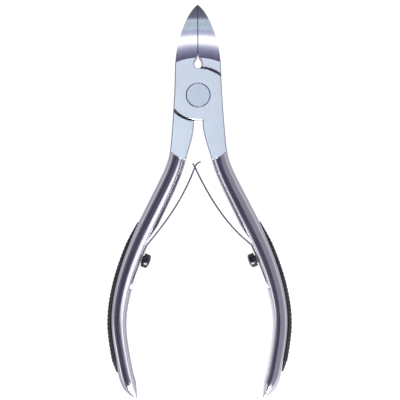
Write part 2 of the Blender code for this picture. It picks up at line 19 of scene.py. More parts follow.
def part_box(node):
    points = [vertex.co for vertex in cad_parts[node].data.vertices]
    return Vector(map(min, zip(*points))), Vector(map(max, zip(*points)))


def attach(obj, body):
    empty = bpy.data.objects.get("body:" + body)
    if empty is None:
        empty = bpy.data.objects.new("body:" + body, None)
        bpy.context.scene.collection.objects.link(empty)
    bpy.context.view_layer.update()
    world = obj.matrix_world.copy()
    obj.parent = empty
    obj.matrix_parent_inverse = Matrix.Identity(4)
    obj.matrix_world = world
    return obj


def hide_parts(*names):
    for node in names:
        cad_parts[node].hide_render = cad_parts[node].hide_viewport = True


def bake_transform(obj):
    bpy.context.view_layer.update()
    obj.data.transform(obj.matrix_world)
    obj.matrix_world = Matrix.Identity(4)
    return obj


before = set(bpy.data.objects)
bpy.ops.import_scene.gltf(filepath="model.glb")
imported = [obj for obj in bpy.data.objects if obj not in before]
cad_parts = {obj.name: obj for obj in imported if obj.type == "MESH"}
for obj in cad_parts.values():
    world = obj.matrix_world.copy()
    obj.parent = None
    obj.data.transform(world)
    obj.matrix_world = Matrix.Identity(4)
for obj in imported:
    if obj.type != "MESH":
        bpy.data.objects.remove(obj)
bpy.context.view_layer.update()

LOG = logging.getLogger("cuticle_nipper")
MM = 0.001
GRAIN_UV = "grain"               # U across the grain and V along it, in millimetres

Point = tuple[float, float]
Colour = tuple[float, float, float]
Socket = bpy.types.NodeSocket


class Side(IntEnum):
    """The side of the nipper, as the sign of X."""

    LEFT = -1
    RIGHT = 1


class Zone(IntEnum):
    """What finish a lever's face takes, as the place of its material in the lever's list."""

    FLAT = 0
    POLISHED = 1
    FACET = 2
    # faces given a dark painted shade, in the groove between the cutting edges and at the leaf seat's
    # end
    CREVICE = 3


class Cut(Enum):
    """How one solid acts on another."""

    JOIN = "UNION"
    REMOVE = "DIFFERENCE"


# ---- Sizes shared by several sub-assemblies -------------------------------------------------------


@dataclass(frozen=True)
class Plan:
    """Sizes of the nipper's outline, read from the CAD boxes where a box gives them."""

    thickness: float
    jaw_length: float
    handle_length: float
    rivet_radius: float
    gap: float = 0.3 * MM
    edge_gap: float = 0.012 * MM          # between the closed cutting edges
    crevice_width: float = 0.26 * MM     # their bevels leave this wide a line in front
    crevice_depth: float = 0.45 * MM
    jaw_base_y: float = 7.0 * MM
    jaw_base_half_width: float = 5.9 * MM
    jaw_tip_slope: Point = (2.8 * MM, 2.3 * MM)
    jaw_shoulder: Point = (0.3 * MM, 7.0 * MM)
    edge_start_y: float = 10.7 * MM
    window_half_width: float = 0.90 * MM
    window_y: float = 7.9 * MM
    facet_radius: float = 14.3 * MM
    facet_start_y: float = 9.4 * MM
    facet_start_tilt: float = 2.0        # degrees, where the facets leave the joint's face
    jaw_tip_drop: float = 4.0 * MM
    jaw_back_y: float = 11.0 * MM
    jaw_back_rise: float = 1.0 * MM
    hollow_radius: float = 2.4 * MM
    hollow_depth: float = 1.4 * MM
    joint_half_width: float = 6.3 * MM
    jaw_seam: Point = (8.2 * MM, 7.05 * MM)
    arm_seam: Point = (7.6 * MM, 6.5 * MM)
    arm_length: float = 14.4 * MM
    arm_half_width: float = 7.3 * MM
    arm_inner_x: float = 3.20 * MM
    arm_slant: float = 2.1 * MM
    crotch_half_gap: float = 1.0 * MM
    rivet_shank_radius: float = 2.0 * MM
    rivet_countersink: float = 0.95 * MM
    handle_spread: float = 20.6 * MM
    handle_overlap: float = 1.2 * MM
    handle_end_radius: float = 0.50 * MM
    handle_depth_ratio: float = 1.15
    leaf_seat_depth: float = 0.7 * MM
    screw_station: float = 29.9 * MM
    edge_round: float = 0.20 * MM
    wall_run: float = 0.12 * MM          # how far the side walls bulge past the flats' edges

    @property
    def mid_z(self) -> float:
        """Height of the middle of the joint."""
        return self.thickness / 2

    @classmethod
    def from_frame(cls) -> "Plan":
        """Read the overall sizes from the CAD nodes' boxes.

        Returns:
            The plan that every sub-assembly shares.
        """
        low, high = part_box("front_lever")
        rivet_low, rivet_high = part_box("pivot_rivet")
        return cls(
            thickness=high.z, jaw_length=high.y, handle_length=-low.y,
            rivet_radius=(rivet_high.x - rivet_low.x) / 2)


# ---- Plane curves ---------------------------------------------------------------------------------


def bezier(start: Point, lead_out: Point, lead_in: Point, end: Point, steps: int) -> list[Point]:
    """Lay points along a cubic curve.

    Args:
        start: First point of the curve.
        lead_out: Handle that the curve leaves its first point by.
        lead_in: Handle that it reaches its last point by.
        end: Last point of the curve.
        steps: How many points to lay, both ends included.

    Returns:
        The points, in order.
    """
    corners = [Vector((*corner, 0)) for corner in (start, lead_out, lead_in, end)]
    return [(point.x, point.y) for point in interpolate_bezier(*corners, steps)]


def oval(semi_axes: Point, from_degrees: float, to_degrees: float, steps: int) -> list[Point]:
    """Lay points along an oval about the pivot's axis.

    Args:
        semi_axes: Half-axes along X and Y.
        from_degrees: The oval's own angle at the first point.
        to_degrees: The same at the last point.
        steps: How many stretches to lay.

    Returns:
        The points, both ends included.
    """
    sweep = to_degrees - from_degrees
    angles = [radians(from_degrees + sweep * n / steps) for n in range(steps + 1)]
    return [(semi_axes[0] * cos(angle), semi_axes[1] * sin(angle)) for angle in angles]


def grown(semi_axes: Point, amount: float) -> Point:
    """Make both half-axes of an oval longer by the same amount."""
    return semi_axes[0] + amount, semi_axes[1] + amount


def inset(outline: Sequence[Point], distance: float, longest_mitre: float = 3.0) -> list[Point]:
    """Move a closed outline inwards, with its corners mitred.

    Args:
        outline: The points, either way round.
        distance: How far inwards, or outwards if negative.
        longest_mitre: How far a sharp corner may move, over the distance.

    Returns:
        As many points as the outline has.
    """
    count = len(outline)
    area = sum(
        outline[n][0] * outline[(n + 1) % count][1] - outline[(n + 1) % count][0] * outline[n][1]
        for n in range(count))
    turn = 1.0 if area > 0 else -1.0
    moved = []
    for n in range(count):
        here = Vector(outline[n])
        before = (here - Vector(outline[n - 1])).normalized()
        after = (Vector(outline[(n + 1) % count]) - here).normalized()
        normals = [Vector((-way.y, way.x)) * turn for way in (before, after)]
        mitre = (normals[0] + normals[1]) / max(0.1, 1 + normals[0].dot(normals[1]))
        if mitre.length > longest_mitre:
            mitre = mitre.normalized() * longest_mitre
        point = here + mitre * distance
        moved.append((point.x, point.y))
    return moved


def rounded_levels(radius: float, segments: int) -> list[Point]:
    """List a rounded edge's steps from a flat face to the wall below it, as (inset, depth)."""
    angles = [pi / 2 * n / segments for n in range(segments + 1)]
    return [(radius * (1 - sin(angle)), radius * (1 - cos(angle))) for angle in angles]


class Outline:
    """The nipper's outlines in plan."""

    def __init__(self, plan: Plan) -> None:
        """Keep the plan, and lay out the outer edge on the +X side once."""
        self.plan = plan
        self.edge = self._silhouette()

    def _silhouette(self) -> list[Point]:
        """Lay out the outer edge of jaw, joint and arm on the +X side, from tip to arm's end."""
        p = self.plan
        tip = (p.edge_gap / 2, p.jaw_length)
        base = (p.jaw_base_half_width, p.jaw_base_y)
        end = (p.arm_half_width, -p.arm_length)
        jaw = bezier(
            tip, (tip[0] + p.jaw_tip_slope[0], tip[1] - p.jaw_tip_slope[1]),
            (base[0] - p.jaw_shoulder[0], base[1] + p.jaw_shoulder[1]), base, 34)
        waist_y = (base[1] + end[1]) / 2
        lead = 2 * p.joint_half_width - (base[0] + end[0]) / 2
        joint = bezier(
            base, (base[0] + (lead - base[0]) / 3, waist_y + (base[1] - waist_y) / 2),
            (lead + (end[0] - lead) / 2, waist_y + (end[1] - waist_y) / 2), end, 35)
        return jaw + joint[1:]

    def half_width_at(self, y: float) -> float:
        """Give the silhouette's distance from the middle at a height."""
        for (x1, y1), (x2, y2) in zip(self.edge, self.edge[1:]):
            if y2 <= y <= y1:
                return x1 + (x2 - x1) * (y1 - y) / (y1 - y2)
        return self.edge[-1][0]

    def seam_end_degrees(self, semi_axes: Point, side_of_pivot: int) -> float:
        """Find where a seam's oval meets the silhouette.

        Args:
            semi_axes: The oval's half-axes.
            side_of_pivot: +1 towards the jaws, -1 towards the handles.

        Returns:
            The oval's own angle from the X axis there, in degrees.
        """
        low, high = 0.0, pi / 2
        for _ in range(40):
            middle = (low + high) / 2
            reach = semi_axes[0] * cos(middle)
            if reach > self.half_width_at(semi_axes[1] * sin(middle) * side_of_pivot):
                low = middle
            else:
                high = middle
        return degrees(high)

    def lever(self, side: Side) -> list[Point]:
        """Lay out one lever's jaw, lap plate and arm.

        Args:
            side: The side its arm is on.

        Returns:
            The closed outline.
        """
        p = self.plan
        jaw_plate = grown(p.jaw_seam, -p.gap / 2)
        arm_plate = grown(p.arm_seam, -p.gap / 2)
        jaw_end = self.seam_end_degrees(jaw_plate, 1)
        arm_end = self.seam_end_degrees(arm_plate, -1)
        jaw_corner_y = jaw_plate[1] * sin(radians(jaw_end))
        arm_corner_y = -arm_plate[1] * sin(radians(arm_end))
        crotch_degrees = degrees(asin(p.crotch_half_gap / arm_plate[0]))
        window_degrees = degrees(acos(p.window_half_width / 2 / jaw_plate[0]))

        outline = [(-x, y) for x, y in self.edge if y > arm_corner_y]
        outline += oval(arm_plate, 180 + arm_end, 270 + crotch_degrees, 40)
        crotch = outline[-1]
        inner_end = (p.arm_inner_x, -p.arm_length - p.arm_slant)
        outer_end = (p.arm_half_width, -p.arm_length)
        outline += bezier(
            crotch, (crotch[0], crotch[1] * 0.6 + inner_end[1] * 0.4),
            (inner_end[0] - 0.7 * MM, inner_end[1] * 0.7 + crotch[1] * 0.3), inner_end, 20)[1:]
        outline += bezier(
            inner_end, (inner_end[0] + 1.5 * MM, inner_end[1] + 0.35 * MM),
            (outer_end[0] - 1.2 * MM, outer_end[1] - 0.9 * MM), outer_end, 7)[1:-1]
        outline += [(x, y) for x, y in reversed(self.edge) if y < jaw_corner_y]
        outline += oval(jaw_plate, jaw_end, window_degrees, 36)
        corner = outline[-1]
        widest = (-p.window_half_width, p.window_y)
        edge_start = (-p.edge_gap / 2, p.edge_start_y)
        outline += bezier(
            corner, (-p.window_half_width / 2, corner[1] - 0.2 * MM),
            (widest[0], widest[1] - 0.6 * MM), widest, 10)[1:]
        outline += bezier(
            widest, (widest[0], widest[1] + 1.1 * MM),
            (edge_start[0], edge_start[1] - 1.9 * MM), edge_start, 16)[1:]
        return [(side * x, y) for x, y in outline]

    def lap(self) -> list[Point]:
        """Lay out the oval pocket that clears the other lever's lap plate."""
        upper = oval(grown(self.plan.jaw_seam, self.plan.gap / 2), 9, 173, 72)
        lower = oval(grown(self.plan.arm_seam, self.plan.gap / 2), 188, 352, 72)
        return upper + lower


# ---- The handles' centre line ---------------------------------------------------------------------


@dataclass(frozen=True)
class Station:
    """One place along a handle."""

    centre: Vector
    along: Vector
    inward: Vector
    radius: float


class HandlePath:
    """The centre line of a handle, with its half widths."""

    SHAPE = (                    # share of the spread, share of the length, half width in mm
        (0.000, 0.000, 2.20), (0.026, 0.050, 2.20), (0.155, 0.130, 2.30), (0.380, 0.243, 2.40),
        (0.693, 0.403, 2.40), (0.917, 0.562, 2.21), (1.000, 0.713, 2.02), (0.905, 0.882, 1.935),
        (0.832, 0.948, 1.85), (0.775, 0.980, 1.175), (0.730, 1.000, 0.50))
    SAMPLES = 40                 # per stretch between two of those

    def __init__(self, side: Side, plan: Plan) -> None:
        """Lay the line out on one side.

        Args:
            side: The handle's side.
            plan: The nipper's sizes.
        """
        root_x = (plan.arm_half_width + plan.arm_inner_x) / 2 - plan.gap
        root_y = -plan.arm_length + plan.handle_overlap
        across = plan.handle_spread - root_x
        down = plan.handle_length - plan.handle_end_radius + root_y
        knots = [
            Vector((side * (root_x + across * u), root_y - down * v, radius * MM))
            for u, v, radius in self.SHAPE]
        points = [knots[0]]
        for n in range(len(knots) - 1):
            before = knots[max(n - 1, 0)]
            after = knots[min(n + 2, len(knots) - 1)]
            lead_out = knots[n] + (knots[n + 1] - before) / 6
            lead_in = knots[n + 1] - (after - knots[n]) / 6
            points += interpolate_bezier(
                knots[n], lead_out, lead_in, knots[n + 1], self.SAMPLES + 1)[1:]
        self.side = side
        self.points = points
        self.lengths = [0.0]
        for a, b in zip(points, points[1:]):
            self.lengths.append(self.lengths[-1] + (b.xy - a.xy).length)

    @property
    def length(self) -> float:
        """Length of the centre line."""
        return self.lengths[-1]

    def at(self, station: float) -> Station:
        """Give the place at a distance along the centre line."""
        n = 0
        while n < len(self.lengths) - 2 and self.lengths[n + 1] < station:
            n += 1
        a, b = self.points[n], self.points[n + 1]
        share = (station - self.lengths[n]) / (self.lengths[n + 1] - self.lengths[n])
        point = a.lerp(b, share)
        along = (b.xy - a.xy).normalized()
        inward = Vector((along.y, -along.x)) * self.side
        return Station(point.xy, along, inward, point.z)

    def offset(self, station: float, distance: float) -> Vector:
        """Give a point beside the centre line, towards the other handle if the distance is positive."""
        place = self.at(station)
        return place.centre + place.inward * distance

    def eased(self, spacing: float, passes: int) -> list[Station]:
        """Lay stations along the whole line, with its curvature evened out for a mirror finish.

        Args:
            spacing: Distance between stations.
            passes: How often each station is averaged with its neighbours.

        Returns:
            The stations, from the arm to the handle's end.
        """
        count = round(self.length / spacing)
        places = [self.at(self.length * n / count) for n in range(count + 1)]
        rows = [Vector((*place.centre, place.radius)) for place in places]
        ending = round(6 * MM / spacing)
        for _ in range(passes):
            smooth = [
                (a + b * 2 + c) / 4 for a, b, c in zip(rows, rows[1:], rows[2:])]
            rows = [rows[0]] + smooth[:-ending] + rows[-ending - 1:]
        stations = []
        for n, row in enumerate(rows):
            way = rows[min(n + 1, count)].xy - rows[max(n - 1, 0)].xy
            along = way.normalized()
            stations.append(Station(row.xy, along, Vector((along.y, -along.x)) * self.side, row.z))
        return stations


# ---- Solids ---------------------------------------------------------------------------------------


def basis(origin: Sequence[float], x_axis: Sequence[float], z_axis: Sequence[float]) -> Matrix:
    """Make a placing matrix from an origin and two directions."""
    z = Vector(z_axis).normalized()
    x = Vector(x_axis).normalized()
    return Matrix.Translation(origin) @ Matrix((x, z.cross(x), z)).transposed().to_4x4()


def skin(name: str, rings: Sequence[Sequence[Vector]], zones: Sequence[int] | int = 0,
         caps: Point | tuple[int, int] = (0, 0), wrap: Callable[[int, int], Point] | None = None,
         place: Matrix | None = None) -> bpy.types.Object:
    """Span closed rings of points with faces, and close both ends.

    Args:
        name: The object's name.
        rings: Rings with the same number of points.
        zones: Material place of each band between two rings, or one for all.
        caps: Material places of the first and the last ring's cap.
        wrap: Gives grain coordinates for (ring, point), for a piece whose grain follows its length.
        place: Where the piece goes.

    Returns:
        The closed mesh as an object.
    """
    body = bmesh.new()
    grain = body.loops.layers.uv.new(GRAIN_UV)
    place = place or Matrix.Identity(4)
    loops = [[body.verts.new(place @ point) for point in ring] for ring in rings]
    count = len(rings[0])
    for r, (near, far) in enumerate(zip(loops, loops[1:])):
        for n in range(count):
            m = (n + 1) % count
            face = body.faces.new((near[n], near[m], far[m], far[n]))
            face.material_index = zones if isinstance(zones, int) else zones[r]
            if wrap:
                corners = (wrap(r, n), wrap(r, n + 1), wrap(r + 1, n + 1), wrap(r + 1, n))
                for loop, corner in zip(face.loops, corners):
                    loop[grain].uv = corner
    ends = (body.faces.new(list(reversed(loops[0]))), body.faces.new(loops[-1]))
    for face, zone in zip(ends, caps):
        face.material_index = zone
    flat = ends if wrap else body.faces
    for face in flat:
        for loop in face.loops:
            co = loop.vert.co
            loop[grain].uv = ((co.x + co.z) / MM, (co.y + co.z * 0.3) / MM)
    bmesh.ops.recalc_face_normals(body, faces=body.faces)
    mesh = bpy.data.meshes.new(name)
    body.to_mesh(mesh)
    body.free()
    made = bpy.data.objects.new(name, mesh)
    bpy.context.scene.collection.objects.link(made)
    return made


def prism(name: str, levels: Sequence[tuple[list[Point], float]], zones: Sequence[int] | int = 0,
          caps: tuple[int, int] = (0, 0)) -> bpy.types.Object:
    """Stack outlines at heights into a solid.

    Args:
        name: The object's name.
        levels: (outline, height) pairs from the bottom up.
        zones: Material places, as for skin.
        caps: Material places of the bottom and the top.

    Returns:
        The closed mesh as an object.
    """
    rings = [[Vector((x, y, z)) for x, y in outline] for outline, z in levels]
    return skin(name, rings, zones, caps)


def turned(name: str, profile: Sequence[Point], steps: int, place: Matrix,
           zones: Sequence[int] | int = 0) -> bpy.types.Object:
    """Turn a profile about its own Z.

    Args:
        name: The object's name.
        profile: (radius, height) points down the outer side.
        steps: How many steps to turn it in.
        place: Where the solid goes.
        zones: Material places, as for skin.

    Returns:
        The closed mesh as an object.
    """
    angles = [2 * pi * n / steps for n in range(steps)]
    rings = [
        [Vector((radius * cos(a), radius * sin(a), height)) for a in angles]
        for radius, height in profile]
    ends = (zones, zones) if isinstance(zones, int) else (zones[0], zones[-1])
    return skin(name, rings, zones, ends, place=place)


def block(name: str, size: Sequence[float], place: Matrix, zone: int = 0) -> bpy.types.Object:
    """Make a box-shaped cutter of the given size, placed by a matrix."""
    x, y, z = (length / 2 for length in size)
    corners = ((-x, -y), (x, -y), (x, y), (-x, y))
    rings = [[Vector((a, b, height)) for a, b in corners] for height in (-z, z)]
    return skin(name, rings, zone, (zone, zone), place=place)


def work(target: bpy.types.Object, tool: bpy.types.Object, cut: Cut) -> None:
    """Join a solid to the target or remove it from the target, then discard it.

    Args:
        target: The solid that is kept.
        tool: The solid that acts on it.
        cut: Whether it is joined or removed.
    """
    step = target.modifiers.new("work", "BOOLEAN")
    step.operation = cut.value
    step.object = tool
    step.solver = "EXACT"
    bpy.context.view_layer.update()
    result = bpy.data.meshes.new_from_object(
        target.evaluated_get(bpy.context.evaluated_depsgraph_get()))
    target.modifiers.remove(step)
    old = target.data
    target.data = result
    result.name = target.name
    bpy.data.meshes.remove(old)
    bpy.data.meshes.remove(tool.data)


def tidy_mesh(target: bpy.types.Object, crease_degrees: float) -> None:
    """Merge what a cut left doubled, and shade the solid smooth up to its creases.

    Args:
        target: The solid.
        crease_degrees: Edges sharper than this stay sharp.
    """
    body = bmesh.new()
    body.from_mesh(target.data)
    bmesh.ops.remove_doubles(body, verts=body.verts, dist=0.0015 * MM)
    bmesh.ops.dissolve_degenerate(body, edges=body.edges, dist=0.001 * MM)
    body.to_mesh(target.data)
    body.free()
    target.data.shade_smooth()
    target.data.set_sharp_from_angle(angle=radians(crease_degrees))
    even = target.modifiers.new("even_normals", "WEIGHTED_NORMAL")
    even.mode = "FACE_AREA"
    even.weight = 90
    even.keep_sharp = True


def dress(target: bpy.types.Object, looks: Sequence[bpy.types.Material]) -> None:
    """Give a piece its materials, in the order of its faces' material places."""
    places = [face.material_index for face in target.data.polygons]
    target.data.materials.clear()
    for look in looks:
        target.data.materials.append(look)
    last = len(looks) - 1
    target.data.polygons.foreach_set("material_index", [min(place, last) for place in places])
    target.data.update()


def report(target: bpy.types.Object) -> None:
    """Log a finished piece and its size."""
    size = [round(length / MM, 2) for length in target.dimensions]
    LOG.info("%s: %d faces, %s mm", target.name, len(target.data.polygons), size)


# ---- Shader helpers -------------------------------------------------------------------------------


class Graph:
    """Adds and links the nodes of one tree."""

    def __init__(self, tree: bpy.types.NodeTree) -> None:
        """Work on one node tree."""
        self.tree = tree

    def add(self, kind: str, inputs: dict[str, object] | None = None,
            **settings: object) -> bpy.types.Node:
        """Add a node.

        Args:
            kind: The node's type.
            inputs: Values or sockets for its inputs, by name.
            settings: The node's own settings.

        Returns:
            The node.
        """
        node = self.tree.nodes.new(kind)
        for key, value in settings.items():
            setattr(node, key, value)
        for key, value in (inputs or {}).items():
            self.feed(node.inputs[key], value)
        return node

    def feed(self, socket: Socket, value: object) -> None:
        """Link a socket to an input, or set the input's value."""
        if isinstance(value, bpy.types.NodeSocket):
            self.tree.links.new(value, socket)
        else:
            socket.default_value = value

    def math(self, operation: str, *values: object, clamp: bool = False) -> Socket:
        """Add a Math node and give its result."""
        node = self.add("ShaderNodeMath", operation=operation, use_clamp=clamp)
        for socket, value in zip(node.inputs, values):
            self.feed(socket, value)
        return node.outputs[0]

    def spread(self, value: Socket, low: float, high: float, to_low: float = 0.0,
               to_high: float = 1.0) -> Socket:
        """Map a range of a value smoothly to another range."""
        node = self.add("ShaderNodeMapRange", {
            "Value": value, "From Min": low, "From Max": high, "To Min": to_low,
            "To Max": to_high}, interpolation_type="SMOOTHSTEP")
        return node.outputs["Result"]

    def noise(self, vector: Socket, scale: float, detail: float = 3.0,
              roughness: float = 0.55) -> Socket:
        """Add a noise texture and give its value."""
        node = self.add("ShaderNodeTexNoise", {
            "Vector": vector, "Scale": scale, "Detail": detail, "Roughness": roughness})
        return node.outputs["Fac"]

    def stretched(self, vector: Socket, scale: Sequence[object], turn: float = 0.0) -> Socket:
        """Turn a vector about Z, in degrees, then scale it along each axis."""
        turned_node = self.add(
            "ShaderNodeVectorRotate", {"Vector": vector, "Angle": radians(turn)},
            rotation_type="Z_AXIS")
        parts = self.add("ShaderNodeCombineXYZ")
        for socket, value in zip(parts.inputs, scale):
            self.feed(socket, value)
        node = self.add("ShaderNodeVectorMath", operation="MULTIPLY")
        self.feed(node.inputs[0], turned_node.outputs[0])
        self.feed(node.inputs[1], parts.outputs[0])
        return node.outputs[0]

    def blend(self, share: object, first: object, second: object) -> Socket:
        """Mix two colours."""
        node = self.add("ShaderNodeMix", data_type="RGBA")
        self.feed(node.inputs[0], share)
        for socket, value in ((node.inputs[6], first), (node.inputs[7], second)):
            self.feed(socket, (*value, 1.0) if isinstance(value, tuple) else value)
        return node.outputs[2]


class EffectGroup:
    """A surface effect as a node group, built once and placed in each material."""

    NAME = ""
    INPUTS: dict[str, tuple[str, float]] = {}
    OUTPUTS: tuple[str, ...] = ()

    @classmethod
    def tree(cls) -> bpy.types.NodeTree:
        """Give the group, building it the first time."""
        known = bpy.data.node_groups.get(cls.NAME)
        if known:
            return known
        tree = bpy.data.node_groups.new(cls.NAME, "ShaderNodeTree")
        for name, (kind, value) in cls.INPUTS.items():
            socket = tree.interface.new_socket(name, in_out="INPUT", socket_type=kind)
            if kind == "NodeSocketFloat":
                socket.default_value = value
        for name in cls.OUTPUTS:
            tree.interface.new_socket(name, in_out="OUTPUT", socket_type="NodeSocketFloat")
        graph = Graph(tree)
        source = graph.add("NodeGroupInput")
        results = cls.lay(graph, {name: source.outputs[name] for name in cls.INPUTS})
        graph.add("NodeGroupOutput", results)
        return tree

    @classmethod
    def lay(cls, graph: Graph, given: dict[str, Socket]) -> dict[str, Socket]:
        """Lay the group's nodes and give its results by name."""
        raise NotImplementedError

    @classmethod
    def place(cls, graph: Graph, **given: object) -> dict[str, Socket]:
        """Place the group in a material with that material's own values."""
        node = graph.add("ShaderNodeGroup", node_tree=cls.tree())
        for name, value in given.items():
            graph.feed(node.inputs[name], value)
        return {name: node.outputs[name] for name in cls.OUTPUTS}


class BrushedGrain(EffectGroup):
    """Fine lines left by a belt or a wheel, along V of the grain coordinates."""

    NAME = "brushed_grain"
    INPUTS = {
        "Vector": ("NodeSocketVector", 0.0), "Lines per mm": ("NodeSocketFloat", 12.0),
        "Run per mm": ("NodeSocketFloat", 0.25)}
    OUTPUTS = ("Height", "Tone")

    @classmethod
    def lay(cls, graph: Graph, given: dict[str, Socket]) -> dict[str, Socket]:
        """Lay a fine and a broad layer of stretched noise."""
        lines, run = given["Lines per mm"], given["Run per mm"]
        fine = graph.noise(graph.stretched(given["Vector"], (lines, run, 1.0)), 1.0, 4.0, 0.65)
        broad_lines = graph.math("MULTIPLY", lines, 0.14)
        broad_run = graph.math("MULTIPLY", run, 0.5)
        broad = graph.noise(
            graph.stretched(given["Vector"], (broad_lines, broad_run, 1.0)), 1.0, 2.0, 0.5)
        tone = graph.math("ADD", graph.math("MULTIPLY", fine, 0.6), graph.math(
            "MULTIPLY", broad, 0.4))
        return {"Height": fine, "Tone": graph.spread(tone, 0.36, 0.64)}


class Smudges(EffectGroup):
    """Uneven polish and faint finger marks."""

    NAME = "smudges"
    INPUTS = {"Vector": ("NodeSocketVector", 0.0), "Per mm": ("NodeSocketFloat", 0.2)}
    OUTPUTS = ("Mask",)

    @classmethod
    def lay(cls, graph: Graph, given: dict[str, Socket]) -> dict[str, Socket]:
        """Lay broad noise, broken up by finer noise."""
        scale = given["Per mm"]
        broad = graph.noise(graph.stretched(given["Vector"], (scale, scale, scale)), 1.0, 3.0, 0.5)
        near = graph.math("MULTIPLY", scale, 6.0)
        fine = graph.noise(graph.stretched(given["Vector"], (near, near, near)), 1.0, 4.0, 0.6)
        both = graph.math("ADD", broad, graph.math("MULTIPLY", fine, 0.35))
        return {"Mask": graph.spread(both, 0.55, 0.86)}


class Scratches(EffectGroup):
    """Sparse hairline scratches from handling, lying in two directions."""

    NAME = "scratches"
    INPUTS = {"Vector": ("NodeSocketVector", 0.0), "Amount": ("NodeSocketFloat", 0.5)}
    OUTPUTS = ("Mask",)
    LAYERS = ((27.0, 9.0, 0.35), (-38.0, 11.0, 0.45))     # turn, lines per mm, run per mm

    @classmethod
    def lay(cls, graph: Graph, given: dict[str, Socket]) -> dict[str, Socket]:
        """Keep only the crests of two stretched noises."""
        crest = graph.math("SUBTRACT", 0.80, graph.math("MULTIPLY", given["Amount"], 0.14))
        masks = []
        for turn, lines, run in cls.LAYERS:
            value = graph.noise(graph.stretched(given["Vector"], (lines, run, 1.0), turn), 1.0, 2.0)
            over = graph.math("MULTIPLY", graph.math("SUBTRACT", value, crest), 18.0, clamp=True)
            masks.append(over)
        return {"Mask": graph.math("MAXIMUM", *masks)}


class EdgeWear(EffectGroup):
    """Where edges are burnished by handling."""

    NAME = "edge_wear"
    INPUTS = {
        "Vector": ("NodeSocketVector", 0.0), "Reach": ("NodeSocketFloat", 0.2 * MM),
        "Amount": ("NodeSocketFloat", 1.0)}
    OUTPUTS = ("Mask",)

    @classmethod
    def lay(cls, graph: Graph, given: dict[str, Socket]) -> dict[str, Socket]:
        """Compare the surface with a rounder one, and break the result up with noise."""
        rounder = graph.add("ShaderNodeBevel", {"Radius": given["Reach"]}, samples=4)
        facing = graph.add("ShaderNodeNewGeometry")
        dot = graph.add("ShaderNodeVectorMath", operation="DOT_PRODUCT")
        graph.feed(dot.inputs[0], rounder.outputs[0])
        graph.feed(dot.inputs[1], facing.outputs["Normal"])
        edge = graph.spread(dot.outputs["Value"], 0.995, 0.90)
        patches = graph.spread(graph.noise(
            graph.stretched(given["Vector"], (1.6, 1.6, 1.6)), 1.0, 4.0), 0.35, 0.62, 0.35, 1.0)
        worn = graph.math("MULTIPLY", graph.math("MULTIPLY", edge, patches), given["Amount"])
        return {"Mask": worn}


# ---- Finishes -------------------------------------------------------------------------------------


@dataclass(frozen=True)
class Finish:
    """What every finish has: a name and a main colour."""

    name: str
    colour: Colour

    def start(self) -> tuple[bpy.types.Material, Graph, bpy.types.Node, Socket, Socket]:
        """Start a material.

        Returns:
            The material, its graph, its shader, the grain coordinates and the piece's own ones.
        """
        made = bpy.data.materials.new(self.name)
        made.use_nodes = True
        made.diffuse_color = (*self.colour, 1.0)
        graph = Graph(made.node_tree)
        shader = made.node_tree.nodes["Principled BSDF"]
        grain = graph.add("ShaderNodeUVMap", uv_map=GRAIN_UV).outputs["UV"]
        own = graph.add("ShaderNodeTexCoord").outputs["Object"]
        per_mm = graph.add("ShaderNodeVectorMath", operation="SCALE")
        graph.feed(per_mm.inputs[0], own)
        per_mm.inputs["Scale"].default_value = 1 / MM
        return made, graph, shader, grain, per_mm.outputs[0]

    @staticmethod
    def bump(graph: Graph, shader: bpy.types.Node, height: Socket, depth: float) -> None:
        """Feed a height to the shader's normal.

        Args:
            graph: The material's graph.
            shader: The Principled shader.
            height: Height from 0 to 1.
            depth: How deep 0 to 1 is, in metres.
        """
        node = graph.add("ShaderNodeBump", {"Height": height, "Strength": 1.0, "Distance": depth})
        graph.feed(shader.inputs["Normal"], node.outputs["Normal"])


@dataclass(frozen=True)
class SteelFinish(Finish):
    """Bare steel: ground, satin or polished by its values."""

    shade: Colour = (0.5, 0.5, 0.55)
    roughness: float = 0.2
    unevenness: float = 0.08
    metallic: float = 1.0
    lines_per_mm: float = 12.0
    run_per_mm: float = 0.25
    grain_tone: float = 0.3
    grain_depth: float = 0.5e-6
    scratch: float = 0.4
    wear_reach: float = 0.15 * MM
    anisotropy: float = 0.0

    def build(self) -> bpy.types.Material:
        """Build the material.

        Returns:
            The material.
        """
        made, graph, shader, grain, own = self.start()
        lines = BrushedGrain.place(
            graph, **{"Vector": grain, "Lines per mm": self.lines_per_mm,
                      "Run per mm": self.run_per_mm})
        marks = Smudges.place(graph, **{"Vector": own, "Per mm": 0.16})["Mask"]
        scratches = Scratches.place(graph, **{"Vector": grain, "Amount": self.scratch})["Mask"]
        worn = EdgeWear.place(
            graph, **{"Vector": own, "Reach": self.wear_reach, "Amount": 0.8})["Mask"]

        toned = graph.blend(
            graph.math("MULTIPLY", lines["Tone"], self.grain_tone), self.colour, self.shade)
        marked = graph.blend(graph.math("MULTIPLY", marks, 0.12), toned, self.shade)
        bright = tuple(min(1.0, channel * 1.12) for channel in self.colour)
        graph.feed(shader.inputs["Base Color"], graph.blend(worn, marked, bright))

        uneven = graph.math("ADD", graph.math("MULTIPLY", marks, self.unevenness), graph.math(
            "MULTIPLY", lines["Tone"], self.unevenness * 0.8))
        rough = graph.math("ADD", uneven, self.roughness)
        scratched = graph.math("ADD", rough, graph.math("MULTIPLY", scratches, 0.12))
        polished = graph.math("SUBTRACT", scratched, graph.math(
            "MULTIPLY", worn, self.roughness * 0.5), clamp=True)
        graph.feed(shader.inputs["Roughness"], polished)
        graph.feed(shader.inputs["Metallic"], self.metallic)
        shader.inputs["Anisotropic"].default_value = self.anisotropy

        height = graph.math("SUBTRACT", lines["Height"], graph.math("MULTIPLY", scratches, 0.6))
        self.bump(graph, shader, height, self.grain_depth)
        return made


